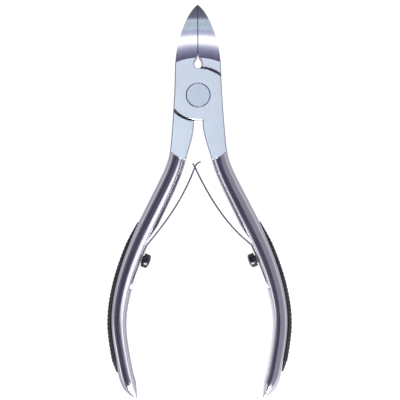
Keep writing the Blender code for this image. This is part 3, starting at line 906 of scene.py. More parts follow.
@dataclass(frozen=True)
class BlackedSteelFinish(Finish):
    """Steel with a glossy black oxide, worn through along its edges."""

    bare: Colour = (0.45, 0.45, 0.47)

    def build(self) -> bpy.types.Material:
        """Build the material.

        Returns:
            The material.
        """
        made, graph, shader, _, own = self.start()
        marks = Smudges.place(graph, **{"Vector": own, "Per mm": 0.9})["Mask"]
        worn = EdgeWear.place(
            graph, **{"Vector": own, "Reach": 0.10 * MM, "Amount": 0.55})["Mask"]
        speckle = graph.noise(own, 9.0, 4.0, 0.6)
        oxide = graph.blend(graph.spread(speckle, 0.35, 0.7), self.colour, (0.055, 0.055, 0.065))
        graph.feed(shader.inputs["Base Color"], graph.blend(worn, oxide, self.bare))
        graph.feed(shader.inputs["Metallic"], graph.math("ADD", 0.75, graph.math(
            "MULTIPLY", worn, 0.25)))
        graph.feed(shader.inputs["Roughness"], graph.math("ADD", 0.20, graph.math(
            "MULTIPLY", marks, 0.16)))
        shader.inputs["Coat Weight"].default_value = 0.6
        shader.inputs["Coat Roughness"].default_value = 0.12
        self.bump(graph, shader, speckle, 3e-6)
        return made


@dataclass(frozen=True)
class RubberFinish(Finish):
    """Black moulded rubber, with a fine moulded texture and a little pale dust."""

    dust: Colour = (0.10, 0.10, 0.105)

    def build(self) -> bpy.types.Material:
        """Build the material.

        Returns:
            The material.
        """
        made, graph, shader, _, own = self.start()
        pebble = graph.add("ShaderNodeTexVoronoi", {"Vector": own, "Scale": 7.0})
        fine = graph.noise(own, 16.0, 4.0, 0.6)
        marks = Smudges.place(graph, **{"Vector": own, "Per mm": 0.35})["Mask"]
        specks = graph.spread(graph.noise(own, 11.0, 2.0), 0.66, 0.74)
        dulled = graph.blend(graph.math("MULTIPLY", marks, 0.35), self.colour, (0.045, 0.045, 0.05))
        graph.feed(shader.inputs["Base Color"], graph.blend(
            graph.math("MULTIPLY", specks, 0.5), dulled, self.dust))
        graph.feed(shader.inputs["Roughness"], graph.spread(marks, 0.0, 1.0, 0.52, 0.70))
        shader.inputs["Specular IOR Level"].default_value = 0.35
        shader.inputs["Sheen Weight"].default_value = 0.08
        height = graph.math("ADD", pebble.outputs["Distance"], fine)
        self.bump(graph, shader, height, 12e-6)
        return made


@dataclass(frozen=True)
class Finishes:
    """Every material of the nipper."""

    satin: bpy.types.Material
    polished: bpy.types.Material
    facet: bpy.types.Material
    # dark steel as painted shade for narrow recesses
    crevice: bpy.types.Material
    rivet: bpy.types.Material
    spring: bpy.types.Material
    blacked: bpy.types.Material
    rubber: bpy.types.Material

    @classmethod
    def build(cls) -> "Finishes":
        """Build every finish once.

        Returns:
            The materials by use.
        """
        return cls(
            satin=SteelFinish(
                "satin_steel", (0.80, 0.86, 0.92), (0.70, 0.75, 0.84), roughness=0.62,
                unevenness=0.06, lines_per_mm=14.0, run_per_mm=0.6, grain_tone=0.45,
                grain_depth=1.2e-6, scratch=0.25).build(),
            polished=SteelFinish(
                "polished_steel", (0.76, 0.76, 0.82), (0.64, 0.63, 0.71), roughness=0.13,
                unevenness=0.05, lines_per_mm=5.0, run_per_mm=0.10, grain_tone=0.35,
                grain_depth=0.25e-6, scratch=0.45).build(),
            facet=SteelFinish(
                "ground_facet", (0.80, 0.81, 0.86), (0.62, 0.61, 0.70), roughness=0.085,
                unevenness=0.03, lines_per_mm=9.0, run_per_mm=0.12, grain_tone=0.6,
                grain_depth=0.6e-6, scratch=0.2).build(),
            # painted shade: dark steel standing in for the shade in the groove between the closed
            # cutting edges and at the leaf seat's end
            crevice=SteelFinish(
                "crevice_painted_shade", (0.10, 0.10, 0.12), (0.05, 0.05, 0.06), roughness=0.45,
                metallic=0.6, lines_per_mm=6.0, grain_depth=0.6e-6).build(),
            rivet=SteelFinish(
                "ground_rivet", (0.74, 0.81, 0.90), (0.64, 0.70, 0.82), roughness=0.58,
                unevenness=0.06, lines_per_mm=11.0, run_per_mm=0.8, grain_tone=0.5,
                grain_depth=1.0e-6, scratch=0.25).build(),
            spring=SteelFinish(
                "spring_steel", (0.50, 0.51, 0.55), (0.36, 0.36, 0.40), roughness=0.24,
                unevenness=0.08, lines_per_mm=8.0, run_per_mm=0.15, grain_tone=0.6,
                grain_depth=0.8e-6, scratch=0.3, wear_reach=0.06 * MM).build(),
            blacked=BlackedSteelFinish("blackened_steel", (0.022, 0.022, 0.028)).build(),
            rubber=RubberFinish("black_rubber", (0.020, 0.020, 0.023)).build())


# ---- Levers ---------------------------------------------------------------------------------------


@dataclass
class Lever:
    """One lever: jaw, lap plate and arm, with its handle joined on."""

    name: str
    node: str
    body: str
    side: Side                   # where its arm and handle are
    plan: Plan
    outline: Outline
    ring_points: int = 44
    ring_spacing: float = 0.55 * MM
    WALL_STEPS = 5                       # rings in a side wall's bulge, below its rounded edge
    WALL_REACH = 0.985                   # how far down to the middle they go
    WALL_BEND = 1.7

    def build(self) -> bpy.types.Object:
        """Build the lever's mesh.

        Returns:
            The lever, not yet dressed.
        """
        p = self.plan
        lever = self._plate()
        work(lever, self._handle(), Cut.JOIN)
        work(lever, self._lap_pocket(), Cut.REMOVE)
        for tool in (self._bore(), self._facet(), self._back_wedge(), self._hollow(),
                     self._crevice()):
            work(lever, tool, Cut.REMOVE)
        path = HandlePath(self.side, p)
        work(lever, self._leaf_seat(path), Cut.REMOVE)
        work(lever, GripStrip.along(path, p, "groove", 0.14 * MM, ribbed=False), Cut.REMOVE)
        tidy_mesh(lever, 26)
        return lever

    def _plate(self) -> bpy.types.Object:
        """Make the flat part, with every edge rounded."""
        p = self.plan
        flat = self.outline.lever(self.side)
        steps = [(shrink + p.wall_run, depth) for shrink, depth in rounded_levels(p.edge_round, 4)]
        wall = p.mid_z - p.edge_round
        for n in range(1, self.WALL_STEPS + 1):
            share = n / self.WALL_STEPS * self.WALL_REACH
            steps.append((p.wall_run * (1 - share) ** self.WALL_BEND, p.edge_round + wall * share))
        lower = [(self._rounded(flat, shrink), depth) for shrink, depth in steps]
        upper = [(outline, p.thickness - depth) for outline, depth in reversed(lower)]
        bands = len(lower) + len(upper) - 1
        return prism(
            self.name, lower + upper, [Zone.POLISHED] * bands, (Zone.FLAT, Zone.FLAT))

    def _rounded(self, flat: list[Point], shrink: float) -> list[Point]:
        """Draw the flat outline in, less and less towards the sharp jaw tip."""
        fade_end = self.plan.jaw_length - 2 * MM
        drawn_in = []
        for (x, y), (inner_x, inner_y) in zip(flat, inset(flat, shrink)):
            share = min(1.0, max(0.0, (fade_end - y) / (3 * MM)))
            drawn_in.append((x + (inner_x - x) * share, y + (inner_y - y) * share))
        return drawn_in

    def _handle(self) -> bpy.types.Object:
        """Make the handle as a loft of oval sections, with a rounded end."""
        p = self.plan
        path = HandlePath(self.side, p)
        stations = path.eased(self.ring_spacing, 24)
        last = stations[-1]
        tip_steps = 6
        for n in range(1, tip_steps + 1):
            angle = pi / 2 * n / tip_steps * 0.97
            stations.append(Station(
                last.centre + last.along * p.handle_end_radius * sin(angle), last.along,
                last.inward, last.radius * cos(angle)))
        rings, travelled = [], []
        for n, place in enumerate(stations):
            rings.append(oval_ring(place, place.radius, place.radius * p.handle_depth_ratio,
                                   p.mid_z, self.ring_points))
            step = (place.centre - stations[n - 1].centre).length if n else 0.0
            travelled.append((travelled[-1] if travelled else 0.0) + step)
        girth = 2 * pi * 2.3 / self.ring_points

        def wrap(ring: int, point: int) -> Point:
            """Run the grain along the handle."""
            return point * girth, travelled[ring] / MM

        return skin(self.name + "_handle", rings, Zone.POLISHED, (Zone.POLISHED,) * 2, wrap)

    def _lap_pocket(self) -> bpy.types.Object:
        """Make the cutter of the half lap, flared at the face to round the seam's edges."""
        p = self.plan
        lap = self.outline.lap()
        depth = p.mid_z + p.gap / 2
        flare = [
            (inset(lap, -shrink), down) for shrink, down in rounded_levels(p.edge_round, 3)]
        levels = [(flare[0][0], -MM)] + flare + [(lap, depth)]
        zones = [Zone.POLISHED] * (len(levels) - 1)
        if self.side < 0:
            levels = [(outline, p.thickness - z) for outline, z in reversed(levels)]
        return prism(self.name + "_pocket", levels, zones, (Zone.FLAT, Zone.FLAT))

    def _bore(self) -> bpy.types.Object:
        """Make the cutter of the rivet's countersunk bore."""
        return turned(
            "bore", rivet_profile(self.plan, 0.10 * MM, MM, -0.09 * MM), 96,
            Matrix.Rotation(radians(1.7), 4, "Z"), Zone.POLISHED)

    def _facet_drop(self, out: float) -> float:
        """Give how far the facet lies below the joint's face at a distance from its start."""
        p = self.plan
        run = p.jaw_length - p.facet_start_y
        slope = tan(radians(p.facet_start_tilt))
        bend = (p.jaw_tip_drop - slope * run) / run ** 2
        return slope * out + bend * max(0.0, out) ** 2

    def _crevice(self) -> bpy.types.Object:
        """Make the cutter of the fine line that the cutting edges' bevels leave between them."""
        p = self.plan
        half, steps = p.crevice_width / 2, 30
        start, end = p.window_y + 1.5 * MM, p.jaw_length + MM
        rings = []
        for n in range(steps + 1):
            y = start + (end - start) * n / steps
            low = p.thickness - self._facet_drop(y - p.facet_start_y) - p.crevice_depth
            rings.append([
                Vector((x, y, z)) for x, z in (
                    (-half, low), (half, low), (half, p.thickness + MM),
                    (-half, p.thickness + MM))])
        # the groove's walls and ends take the crevice finish, a dark painted shade
        return skin("crevice", rings, Zone.CREVICE, (Zone.CREVICE,) * 2)

    def _facet(self) -> bpy.types.Object:
        """Make the solid that is ground away in front of the jaws: a curve swung about an axis."""
        p = self.plan
        axis_y = p.facet_start_y - p.facet_radius
        run = p.jaw_length - p.facet_start_y
        steps, swings, swing = 40, 48, radians(70)
        profile = []
        for n in range(-2, steps + 8):
            out = run * (n + 0.5) / steps
            profile.append((p.facet_radius + out, p.thickness - self._facet_drop(out)))
        high = p.thickness + 2 * MM
        profile += [(profile[-1][0], high), (profile[0][0], high)]
        rings = []
        for n in range(swings + 1):
            turn = Matrix.Rotation(swing * (n / swings - 0.5), 3, "Z")
            rings.append([turn @ Vector((0, r, z)) + Vector((0, axis_y, 0)) for r, z in profile])
        return skin("facet", rings, Zone.FACET, (Zone.FACET, Zone.FACET))

    def _back_wedge(self) -> bpy.types.Object:
        """Make the wedge that is ground away behind the jaws."""
        p = self.plan
        run = p.jaw_length - p.jaw_back_y
        middle = Vector((0, p.jaw_back_y + run * 0.6, p.jaw_back_rise * 0.6))
        along = Vector((0, 1, p.jaw_back_rise / run)).normalized()
        up = Vector((1, 0, 0)).cross(along)
        depth = 3 * MM
        place = basis(middle - up * depth / 2, (1, 0, 0), up)
        return block("wedge", (6 * p.jaw_base_half_width, 2.4 * run, depth), place, Zone.FLAT)

    def _hollow(self) -> bpy.types.Object:
        """Make the bar that hollows the jaws' backs beside the cutting edges."""
        p = self.plan
        start = p.jaw_base_y + p.gap * 8
        length = p.jaw_length - start + 4 * MM
        place = basis((0, start, p.hollow_depth - p.hollow_radius), (1, 0, 0), (0, 1, 0))
        return turned(
            "hollow", [(p.hollow_radius, length), (p.hollow_radius, 0.0)], 96, place, Zone.FACET)

    def _leaf_seat(self, path: HandlePath) -> bpy.types.Object:
        """Make the cutter of the shallow flat for the spring leaf's foot, with a run-out."""
        p = self.plan
        leaf = LEAVES[self.side]
        depth, run_out, steps = 2 * MM, 6 * MM, 48
        start = leaf.root_station - run_out
        end = leaf.foot_station + 0.5 * MM
        rings = []
        for n in range(steps + 1):
            station = start + (end - start) * n / steps
            sunk = p.leaf_seat_depth * min(1.0, (station - start) / (run_out * 0.8))
            radius = path.at(station).radius
            corners = []
            for away, z in ((0, -1), (depth, -1), (depth, 1), (0, 1)):
                point = path.offset(station, radius - sunk + away)
                corners.append(Vector((*point, p.mid_z + z * 4 * MM)))
            rings.append(corners)
        # the seat's end wall takes the crevice finish, a dark painted shade
        return skin("seat", rings, Zone.POLISHED, (Zone.POLISHED, Zone.CREVICE))

    def finish(self, finishes: Finishes) -> None:
        """Build the lever, dress it and hang it in the frame.

        Args:
            finishes: The nipper's materials.
        """
        lever = self.build()
        dress(lever, (finishes.satin, finishes.polished, finishes.facet, finishes.crevice))
        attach(lever, self.body)
        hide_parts(self.node)
        report(lever)


def oval_ring(place: Station, half_width: float, half_depth: float, z: float,
              count: int) -> list[Vector]:
    """Lay an oval section across a handle.

    Args:
        place: Where along the handle.
        half_width: Half width in plan.
        half_depth: Half depth along Z.
        z: Height of the middle.
        count: How many points.

    Returns:
        The ring of points.
    """
    ring = []
    for n in range(count):
        angle = 2 * pi * n / count
        plan_point = place.centre + place.inward * half_width * cos(angle)
        ring.append(Vector((*plan_point, z + half_depth * sin(angle))))
    return ring


def rivet_profile(plan: Plan, gap: float, overrun: float, rounding: float) -> list[Point]:
    """Lay out the rivet's profile from its front face to its rear face, or its bore's.

    Args:
        plan: The nipper's sizes.
        gap: How much wider than the rivet, for the bore.
        overrun: How far it runs past both faces, for the bore.
        rounding: Radius of the head's rounded edge, or minus the flare at the bore's mouth.

    Returns:
        (radius, height) points.
    """
    head = plan.rivet_radius + gap
    shank = plan.rivet_shank_radius + gap
    if rounding > 0:
        edge = [(head - shrink, plan.thickness - down) for shrink, down in rounded_levels(rounding, 3)]
    else:
        flare = [(head + grow, plan.thickness - down) for grow, down in rounded_levels(-rounding, 3)]
        edge = [(flare[0][0], plan.thickness + overrun)] + flare
    upper = edge + [
        (head, plan.thickness - plan.rivet_countersink / 3),
        (shank, plan.thickness - plan.rivet_countersink - gap)]
    return upper + [(radius, plan.thickness - height) for radius, height in reversed(upper)]


# ---- Springs --------------------------------------------------------------------------------------


@dataclass(frozen=True)
class LeafLine:
    """How one spring leaf runs from its handle to the hook."""

    root_turn: float             # how far it turns away from the handle at its root, in degrees
    hook_direction: Point        # the way it runs through the hook
    tip_length: float            # past the hook
    tip_turn: float              # how far the tip turns, in degrees
    slotted: bool                # slotted for the other leaf's tongue, or ending in that tongue
    root_station: float = 26.0 * MM
    foot_station: float = 37.8 * MM
    reach: float = 8.0 * MM      # how long it keeps its direction at each end


LEAVES = {
    Side.LEFT: LeafLine(16.0, (0.34, 0.94), 2.1 * MM, -48.0, False),
    Side.RIGHT: LeafLine(28.0, (-0.42, 0.91), 1.05 * MM, 8.0, True),
}


@dataclass
class SpringLeaf:
    """A flat spring that stands on edge between its handle and the hook."""

    name: str
    node: str
    body: str
    handle_body: str
    side: Side
    plan: Plan
    thickness: float = 0.45 * MM
    width: float = 3.8 * MM
    hook: Point = (-0.95 * MM, -18.1 * MM)
    tongue_width: float = 1.3 * MM
    slot_length: float = 2.9 * MM
    slot_setback: float = 0.2 * MM       # the slot's middle, short of the hook
    tongue_rings: int = 7                # how many rings before the hook the tongue starts
    hole_radius: float = 1.12 * MM

    def _line(self) -> tuple[list[Vector], int, int]:
        """Lay out the leaf's middle line.

        Returns:
            Its points from foot to tip, and how many reach the root and the hook.
        """
        leaf = LEAVES[self.side]
        path = HandlePath(self.side, self.plan)
        foot_steps, free_steps, tip_steps = 24, 56, 8
        points = []
        for n in range(foot_steps + 1):
            station = leaf.foot_station + (leaf.root_station - leaf.foot_station) * n / foot_steps
            seat = (path.at(station).radius - self.plan.leaf_seat_depth + self.plan.gap * 0.35
                    + self.thickness / 2)
            points.append(path.offset(station, seat))
        root = points[-1]
        hook = Vector(self.hook)
        away = Matrix.Rotation(
            radians(leaf.root_turn) * self.side, 2) @ -path.at(leaf.root_station).along
        through = Vector(leaf.hook_direction).normalized()
        free = bezier(
            root, root + away * leaf.reach, hook - through * leaf.reach, hook, free_steps + 1)
        points += [Vector(point) for point in free[1:]]
        reached = len(points)
        heading = through
        for _ in range(tip_steps):
            heading = Matrix.Rotation(radians(leaf.tip_turn) / tip_steps, 2) @ heading
            points.append(points[-1] + heading * leaf.tip_length / tip_steps)
        return points, foot_steps + 1, reached

    def build(self) -> bpy.types.Object:
        """Build the leaf's mesh.

        Returns:
            The leaf, not yet dressed.
        """
        leaf = LEAVES[self.side]
        points, _, reached = self._line()
        rings, travelled = [], [0.0]
        for n, point in enumerate(points):
            way = points[min(n + 1, len(points) - 1)] - points[max(n - 1, 0)]
            across = Vector((-way.y, way.x)).normalized()
            width = self._width_at(n, reached, len(points), leaf.slotted)
            rings.append(self._section(point, across, width))
            if n:
                travelled.append(travelled[-1] + (point - points[n - 1]).length / MM)
        share = 0.35

        def wrap(ring: int, corner: int) -> Point:
            """Run the grain along the leaf."""
            return corner * share, travelled[ring]

        made = skin(self.name, rings, 0, (0, 0), wrap)
        hole = turned(
            "hole", [(self.hole_radius, 2 * MM), (self.hole_radius, -2 * MM)], 48,
            screw_place(self.side, self.plan, self.thickness))
        work(made, hole, Cut.REMOVE)
        if leaf.slotted:
            through = Vector((*leaf.hook_direction, 0)).normalized()
            across = Vector((0, 0, 1)).cross(through)
            centre = Vector((*self.hook, self.plan.mid_z)) - through * self.slot_setback
            size = (self.slot_length, self.tongue_width + 0.4 * MM, 2 * MM)
            work(made, block("slot", size, basis(centre, through, across)), Cut.REMOVE)
        tidy_mesh(made, 40)
        return made

    def _width_at(self, n: int, reached: int, count: int, slotted: bool) -> float:
        """Give the leaf's width at one of its points: full, or narrowed for the tongue."""
        ending = 1.0
        if n >= count - 3:
            ending = 0.72 + 0.28 * (count - 1 - n) / 3
        if n < 4:
            ending = 0.70 + 0.30 * (n / 4) ** 0.5
        if not slotted and n >= reached - self.tongue_rings:
            return self.tongue_width * ending
        return self.width * ending

    def _section(self, point: Vector, across: Vector, width: float) -> list[Vector]:
        """Lay the leaf's rounded oblong section at a point.

        Args:
            point: The middle, in plan.
            across: The direction through the leaf's thickness, in plan.
            width: Width along Z here.

        Returns:
            The ring of points.
        """
        rounding = self.thickness * 0.28
        ring = []
        quarters = ((1, 1, 0), (-1, 1, 90), (-1, -1, 180), (1, -1, 270))
        for side_a, side_z, first in quarters:
            for n in range(4):
                angle = radians(first + 30 * n)
                a = side_a * (self.thickness / 2 - rounding) + rounding * cos(angle)
                z = side_z * (width / 2 - rounding) + rounding * sin(angle)
                plan_point = point + across * a
                ring.append(Vector((*plan_point, self.plan.mid_z + z)))
        return ring

    def finish(self, finishes: Finishes) -> None:
        """Build the leaf, clamped at its foot and free at its other end, dress it and bake its placing
        into its mesh.

        Args:
            finishes: The nipper's materials.
        """
        leaf = self.build()
        dress(leaf, (finishes.spring,))
        points, root, reached = self._line()
        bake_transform(leaf)
        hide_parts(self.node)
        report(leaf)


def screw_place(side: Side, plan: Plan, leaf_thickness: float) -> Matrix:
    """Find where a spring screw's axis crosses the face of the leaf under its head.

    Args:
        side: The screw's side.
        plan: The nipper's sizes.
        leaf_thickness: Thickness of the leaf.

    Returns:
        A matrix whose Z points out of the head and whose X runs along the pivot's axis.
    """
    path = HandlePath(side, plan)
    place = path.at(plan.screw_station)
    face = place.radius - plan.leaf_seat_depth + plan.gap + leaf_thickness
    seat = path.offset(plan.screw_station, face)
    return basis((seat.x, seat.y, plan.mid_z), (0, 0, 1), (place.inward.x, place.inward.y, 0))


@dataclass
class SpringScrew:
    """A slotted pan-head screw on a spring leaf's foot."""

    name: str
    node: str
    body: str
    side: Side
    plan: Plan
    head_radius: float = 1.8 * MM
    head_height: float = 1.2 * MM
    dome_height: float = 0.5 * MM
    shank_radius: float = 1.0 * MM
    shank_length: float = 2.4 * MM
    slot_width: float = 0.6 * MM
    slot_depth: float = 0.75 * MM
    leaf_thickness: float = 0.45 * MM

    def build(self) -> bpy.types.Object:
        """Build the screw's mesh.

        Returns:
            The screw, not yet dressed.
        """
        low = 0.04 * MM
        rim = self.plan.gap + self.head_height
        top = rim + self.dome_height
        radius = self.head_radius
        profile = [(0.02 * MM, top)]
        dome_steps = 9
        for n in range(1, dome_steps + 1):
            angle = radians(74) * n / dome_steps
            share = sin(angle) / sin(radians(74))
            fall = (1 - cos(angle)) / (1 - cos(radians(74)))
            profile.append((radius * 0.985 * share, top - self.dome_height * fall))
        profile += [(radius, rim - 0.05 * MM), (radius, low + 0.14 * MM)]
        profile += [
            (radius - shrink, low + 0.14 * MM - 0.14 * MM + down)
            for shrink, down in reversed(rounded_levels(0.14 * MM, 3)[:-1])]
        profile += [
            (self.shank_radius, low), (self.shank_radius, low - self.shank_length),
            (0.02 * MM, low - self.shank_length)]
        place = screw_place(self.side, self.plan, self.leaf_thickness)
        screw = turned(self.name, profile, 72, place)
        size = (self.slot_width, 3 * radius, 2 * self.slot_depth)
        work(screw, block("slot", size, place @ Matrix.Translation((0, 0, top))), Cut.REMOVE)
        tidy_mesh(screw, 35)
        return screw

    def finish(self, finishes: Finishes) -> None:
        """Build the screw, dress it and hang it in the frame.

        Args:
            finishes: The nipper's materials.
        """
        screw = self.build()
        dress(screw, (finishes.blacked,))
        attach(screw, self.body)
        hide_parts(self.node)
        report(screw)


# ---- Rivet and grips ------------------------------------------------------------------------------


@dataclass
class Rivet:
    """The flush rivet that both levers turn on."""

    name: str
    node: str
    body: str
    plan: Plan

    def build(self) -> bpy.types.Object:
        """Build the rivet's mesh, its faces ground flat and their rims rounded.

        Returns:
            The rivet, not yet dressed.
        """
        profile = rivet_profile(self.plan, 0.0, 0.0, 0.09 * MM)
        zones = [Zone.POLISHED] * (len(profile) - 1)
        rivet = turned(self.name, profile, 96, Matrix.Identity(4), zones)
        for face in rivet.data.polygons:
            if len(face.vertices) > 4:
                face.material_index = Zone.FLAT
        tidy_mesh(rivet, 30)
        return rivet

    def finish(self, finishes: Finishes) -> None:
        """Build the rivet, dress it and hang it in the frame.

        Args:
            finishes: The nipper's materials.
        """
        rivet = self.build()
        dress(rivet, (finishes.rivet, finishes.polished))
        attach(rivet, self.body)
        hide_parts(self.node)
        report(rivet)


@dataclass
class GripStrip:
    """A ribbed rubber strip in the groove along the outside of a handle."""

    name: str
    node: str
    body: str
    side: Side
    plan: Plan

    START = 21.7 * MM
    END = 59.6 * MM
    PROUD = (0.60 * MM, 0.92 * MM)       # out of the handle, at the upper and the lower end
    SUNK = 0.35 * MM
    DEPTH_RATIO = 1.5
    RIB_PITCH = 1.0 * MM
    RIB_DEPTH = 0.11 * MM

    @classmethod
    def along(cls, path: HandlePath, plan: Plan, name: str, gap: float,
              ribbed: bool) -> bpy.types.Object:
        """Make a strip, or the cutter of its groove.

        Args:
            path: The handle's centre line.
            plan: The nipper's sizes.
            name: The object's name.
            gap: How much larger than the strip all round, for the groove.
            ribbed: Whether its outer side has ribs.

        Returns:
            The closed mesh as an object.
        """
        length = cls.END - cls.START
        steps = round(length / (cls.RIB_PITCH / 6)) if ribbed else 70
        rings = []
        count = 32
        for n in range(steps + 1):
            share = n / steps
            station = cls.START - gap + (length + 2 * gap) * share
            upper = min(1.0, 0.35 + 4.0 * share)
            lower = min(1.0, 0.35 + 8.0 * (1 - share))
            taper = min(upper, lower)
            proud = (cls.PROUD[0] + (cls.PROUD[1] - cls.PROUD[0]) * share) * taper
            half = (proud + cls.SUNK * taper) / 2
            place = path.at(station)
            middle = place.radius + proud - half
            wave = 0.5 - 0.5 * cos(2 * pi * (station - cls.START) / cls.RIB_PITCH)
            valley = cls.RIB_DEPTH * wave ** 1.5 * taper if ribbed else 0.0
            ring = []
            for m in range(count):
                angle = 2 * pi * m / count
                outer = max(0.0, cos(angle))
                out = middle + (half + gap) * cos(angle) - valley * outer ** 0.5
                z = plan.mid_z + (half + gap) * cls.DEPTH_RATIO * sin(angle)
                ring.append(Vector((*(place.centre - place.inward * out), z)))
            rings.append(ring)

        def wrap(ring: int, point: int) -> Point:
            """Run the grain along the strip."""
            return point * 0.3, ring * length / steps / MM

        return skin(name, rings, Zone.POLISHED, (Zone.POLISHED,) * 2, wrap)

    def finish(self, finishes: Finishes) -> None:
        """Build the strip, dress it and hang it in the frame.

        Args:
            finishes: The nipper's materials.
        """
        strip = self.along(HandlePath(self.side, self.plan), self.plan, self.name, 0.0, True)
        tidy_mesh(strip, 55)
        dress(strip, (finishes.rubber,))
        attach(strip, self.body)
        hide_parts(self.node)
        report(strip)


# ---- Studio ---------------------------------------------------------------------------------------


@dataclass
class Studio:
    """A pale floor, a tent of graded light tones with a card and a key light, and the camera."""

    plan: Plan
    TENT_SWEEP = (               # the tent's tones from the -X horizon over the top to +X, by degrees
        (-120, (1.40, 1.40, 1.42)), (-95, (1.30, 1.30, 1.32)), (-87, (0.66, 0.66, 0.70)),
        (-77, (0.31, 0.30, 0.35)), (-70, (0.19, 0.18, 0.23)), (-58, (0.13, 0.12, 0.165)),
        (-40, (0.080, 0.074, 0.11)), (-27, (0.058, 0.053, 0.085)), (-10, (0.066, 0.060, 0.095)),
        (4, (0.085, 0.078, 0.12)), (18, (0.12, 0.112, 0.16)), (30, (0.21, 0.20, 0.26)),
        (42, (0.40, 0.39, 0.45)), (52, (0.90, 0.90, 0.95)), (62, (1.50, 1.50, 1.52)),
        (82, (1.40, 1.40, 1.42)), (90, (0.80, 0.80, 0.84)), (100, (0.45, 0.45, 0.49)),
        (120, (0.42, 0.42, 0.46)))
    JAW_BANDS = (                # and straight ahead of the jaws, from the top to the +Y horizon
        (0, (0.09, 0.08, 0.13)), (8, (0.14, 0.12, 0.19)), (13, (0.22, 0.20, 0.32)),
        (18, (0.36, 0.36, 0.50)), (22, (0.75, 0.77, 0.92)), (24, (1.55, 1.55, 1.55)),
        (31, (1.60, 1.60, 1.60)), (33.5, (0.62, 0.62, 0.80)), (37.5, (0.50, 0.51, 0.68)),
        (39.5, (0.66, 0.78, 0.86)), (44, (0.50, 0.61, 0.66)), (48.4, (0.68, 0.80, 0.88)),
        (50, (0.17, 0.175, 0.22)), (64, (0.11, 0.115, 0.155)))
    HORIZON_TONE = (0.9, 0.9, 0.93)
    HORIZON = (80, 62)                   # degrees: outside and inside of the fade to the horizon
    BEHIND = ((-6, -14), (8, 24))        # a panel's fade in, by forward and by sideways degrees
    BESIDE = ((-22, -36), (-58, -70))    # and the other panel's
    PANEL_SIDES = (104, 92)              # degrees where both panels end sideways
    PANEL_FOOT = (-66, -54)              # and towards the -Y horizon
    PANEL_TONE = (1.35, 1.36, 1.38)
    BAND_SIDES = (19, 12)                # degrees where the jaws' bands end sideways
    BAND_START = (-0.5, 1.5)             # and where they start
    view_width: float = 101.4 * MM       # what the camera takes in at the joint's middle
    aim: Point = (0.30 * MM, -26.44 * MM)
    roll: float = -0.34                  # degrees
    lens: float = 180.0
    sensor: float = 36.0
    floor_size: float = 1.6
    key_power: float = 3.9               # watts
    key_tilt: float = 52.0               # degrees from straight overhead
    key_colour: Colour = (0.90, 0.97, 1.0)
    CARD_EDGE = (                # in mm, over a handle
        (26, 22), (15, -6), (8, -18), (13, -30), (19, -42), (20, -52), (18.5, -64), (14, -90))
    card_reach: float = 110 * MM
    card_height: float = 15 * MM
    card_tones: tuple[Colour, Colour] = ((0.29, 0.28, 0.34), (0.48, 0.47, 0.52))
    # tones of the floor seen only in reflections: darker, a painted shade at the nipper's foot, and
    # lighter, a painted light, between the handles
    floor_in_mirror: tuple[Colour, Colour] = ((0.50, 0.50, 0.54), (0.95, 0.95, 0.98))

    def camera(self) -> None:
        """Set the camera straight above the nipper."""
        data = bpy.data.cameras.new("camera")
        data.lens = self.lens
        data.sensor_width = self.sensor
        distance = self.view_width / 2 / tan(atan(self.sensor / 2 / self.lens))
        data.clip_start = distance * 0.1
        data.clip_end = distance * 20
        made = bpy.data.objects.new("camera", data)
        made.location = (*self.aim, self.plan.mid_z + distance)
        made.rotation_euler = (0, 0, radians(self.roll))
        bpy.context.scene.collection.objects.link(made)
        bpy.context.scene.camera = made

    def floor(self) -> None:
        """Lay the pale floor just under the nipper. It glows white for the camera; in reflections it
        glows darker instead, a painted shade standing in for its shade at the nipper's foot, and
        lighter over the right half of the gap between the handles, a painted light.
        """
        half = self.floor_size / 2
        corners = [(-half, -half), (half, -half), (half, half), (-half, half)]
        slab = prism("floor", [(corners, -4 * MM), (corners, -0.02 * MM)])
        look = bpy.data.materials.new("pale_floor")
        look.use_nodes = True
        graph = Graph(look.node_tree)
        shader = look.node_tree.nodes["Principled BSDF"]
        own = graph.add("ShaderNodeTexCoord").outputs["Object"]
        mottle = graph.noise(own, 40.0, 2.0)
        graph.feed(shader.inputs["Base Color"], graph.blend(
            mottle, (0.93, 0.93, 0.94), (0.95, 0.95, 0.95)))
        shader.inputs["Roughness"].default_value = 0.9
        shader.inputs["Specular IOR Level"].default_value = 0.1
        rays = graph.add("ShaderNodeLightPath")
        glow = graph.add("ShaderNodeEmission", {"Color": (1, 1, 1, 1), "Strength": 1.25})
        place = graph.add("ShaderNodeSeparateXYZ", {"Vector": own})
        outside = graph.math("ADD", place.outputs["X"],
                             graph.math("MULTIPLY", place.outputs["Y"], 0.5))
        between = graph.math("MULTIPLY", graph.spread(outside, -0.5 * MM, -3 * MM),
                             graph.spread(place.outputs["X"], -1.5 * MM, 1.5 * MM))
        # glossy rays see this glowing tone in place of the lit floor: painted shade, lighter between
        # the handles as painted light
        mirrored = graph.add("ShaderNodeEmission", {
            "Color": graph.blend(between, *self.floor_in_mirror), "Strength": 1.0})
        plain = graph.add("ShaderNodeMixShader")
        graph.feed(plain.inputs[0], rays.outputs["Is Glossy Ray"])
        graph.feed(plain.inputs[1], shader.outputs[0])
        graph.feed(plain.inputs[2], mirrored.outputs[0])
        mixed = graph.add("ShaderNodeMixShader")
        graph.feed(mixed.inputs[0], graph.math("MULTIPLY", rays.outputs["Is Camera Ray"], 0.82))
        graph.feed(mixed.inputs[1], plain.outputs[0])
        graph.feed(mixed.inputs[2], glow.outputs[0])
        graph.feed(look.node_tree.nodes["Material Output"].inputs["Surface"], mixed.outputs[0])
        slab.data.materials.append(look)

    @staticmethod
    def _ramp(graph: Graph, value: Socket, stops: Sequence[tuple[float, Colour]]) -> Socket:
        """Add a colour ramp and give its colour."""
        node = graph.add("ShaderNodeValToRGB", {"Fac": value})
        for n, (position, colour) in enumerate(stops):
            stop = node.color_ramp.elements[n] if n < 2 else node.color_ramp.elements.new(position)
            stop.position = position
            stop.color = (*colour, 1.0)
        return node.outputs["Color"]

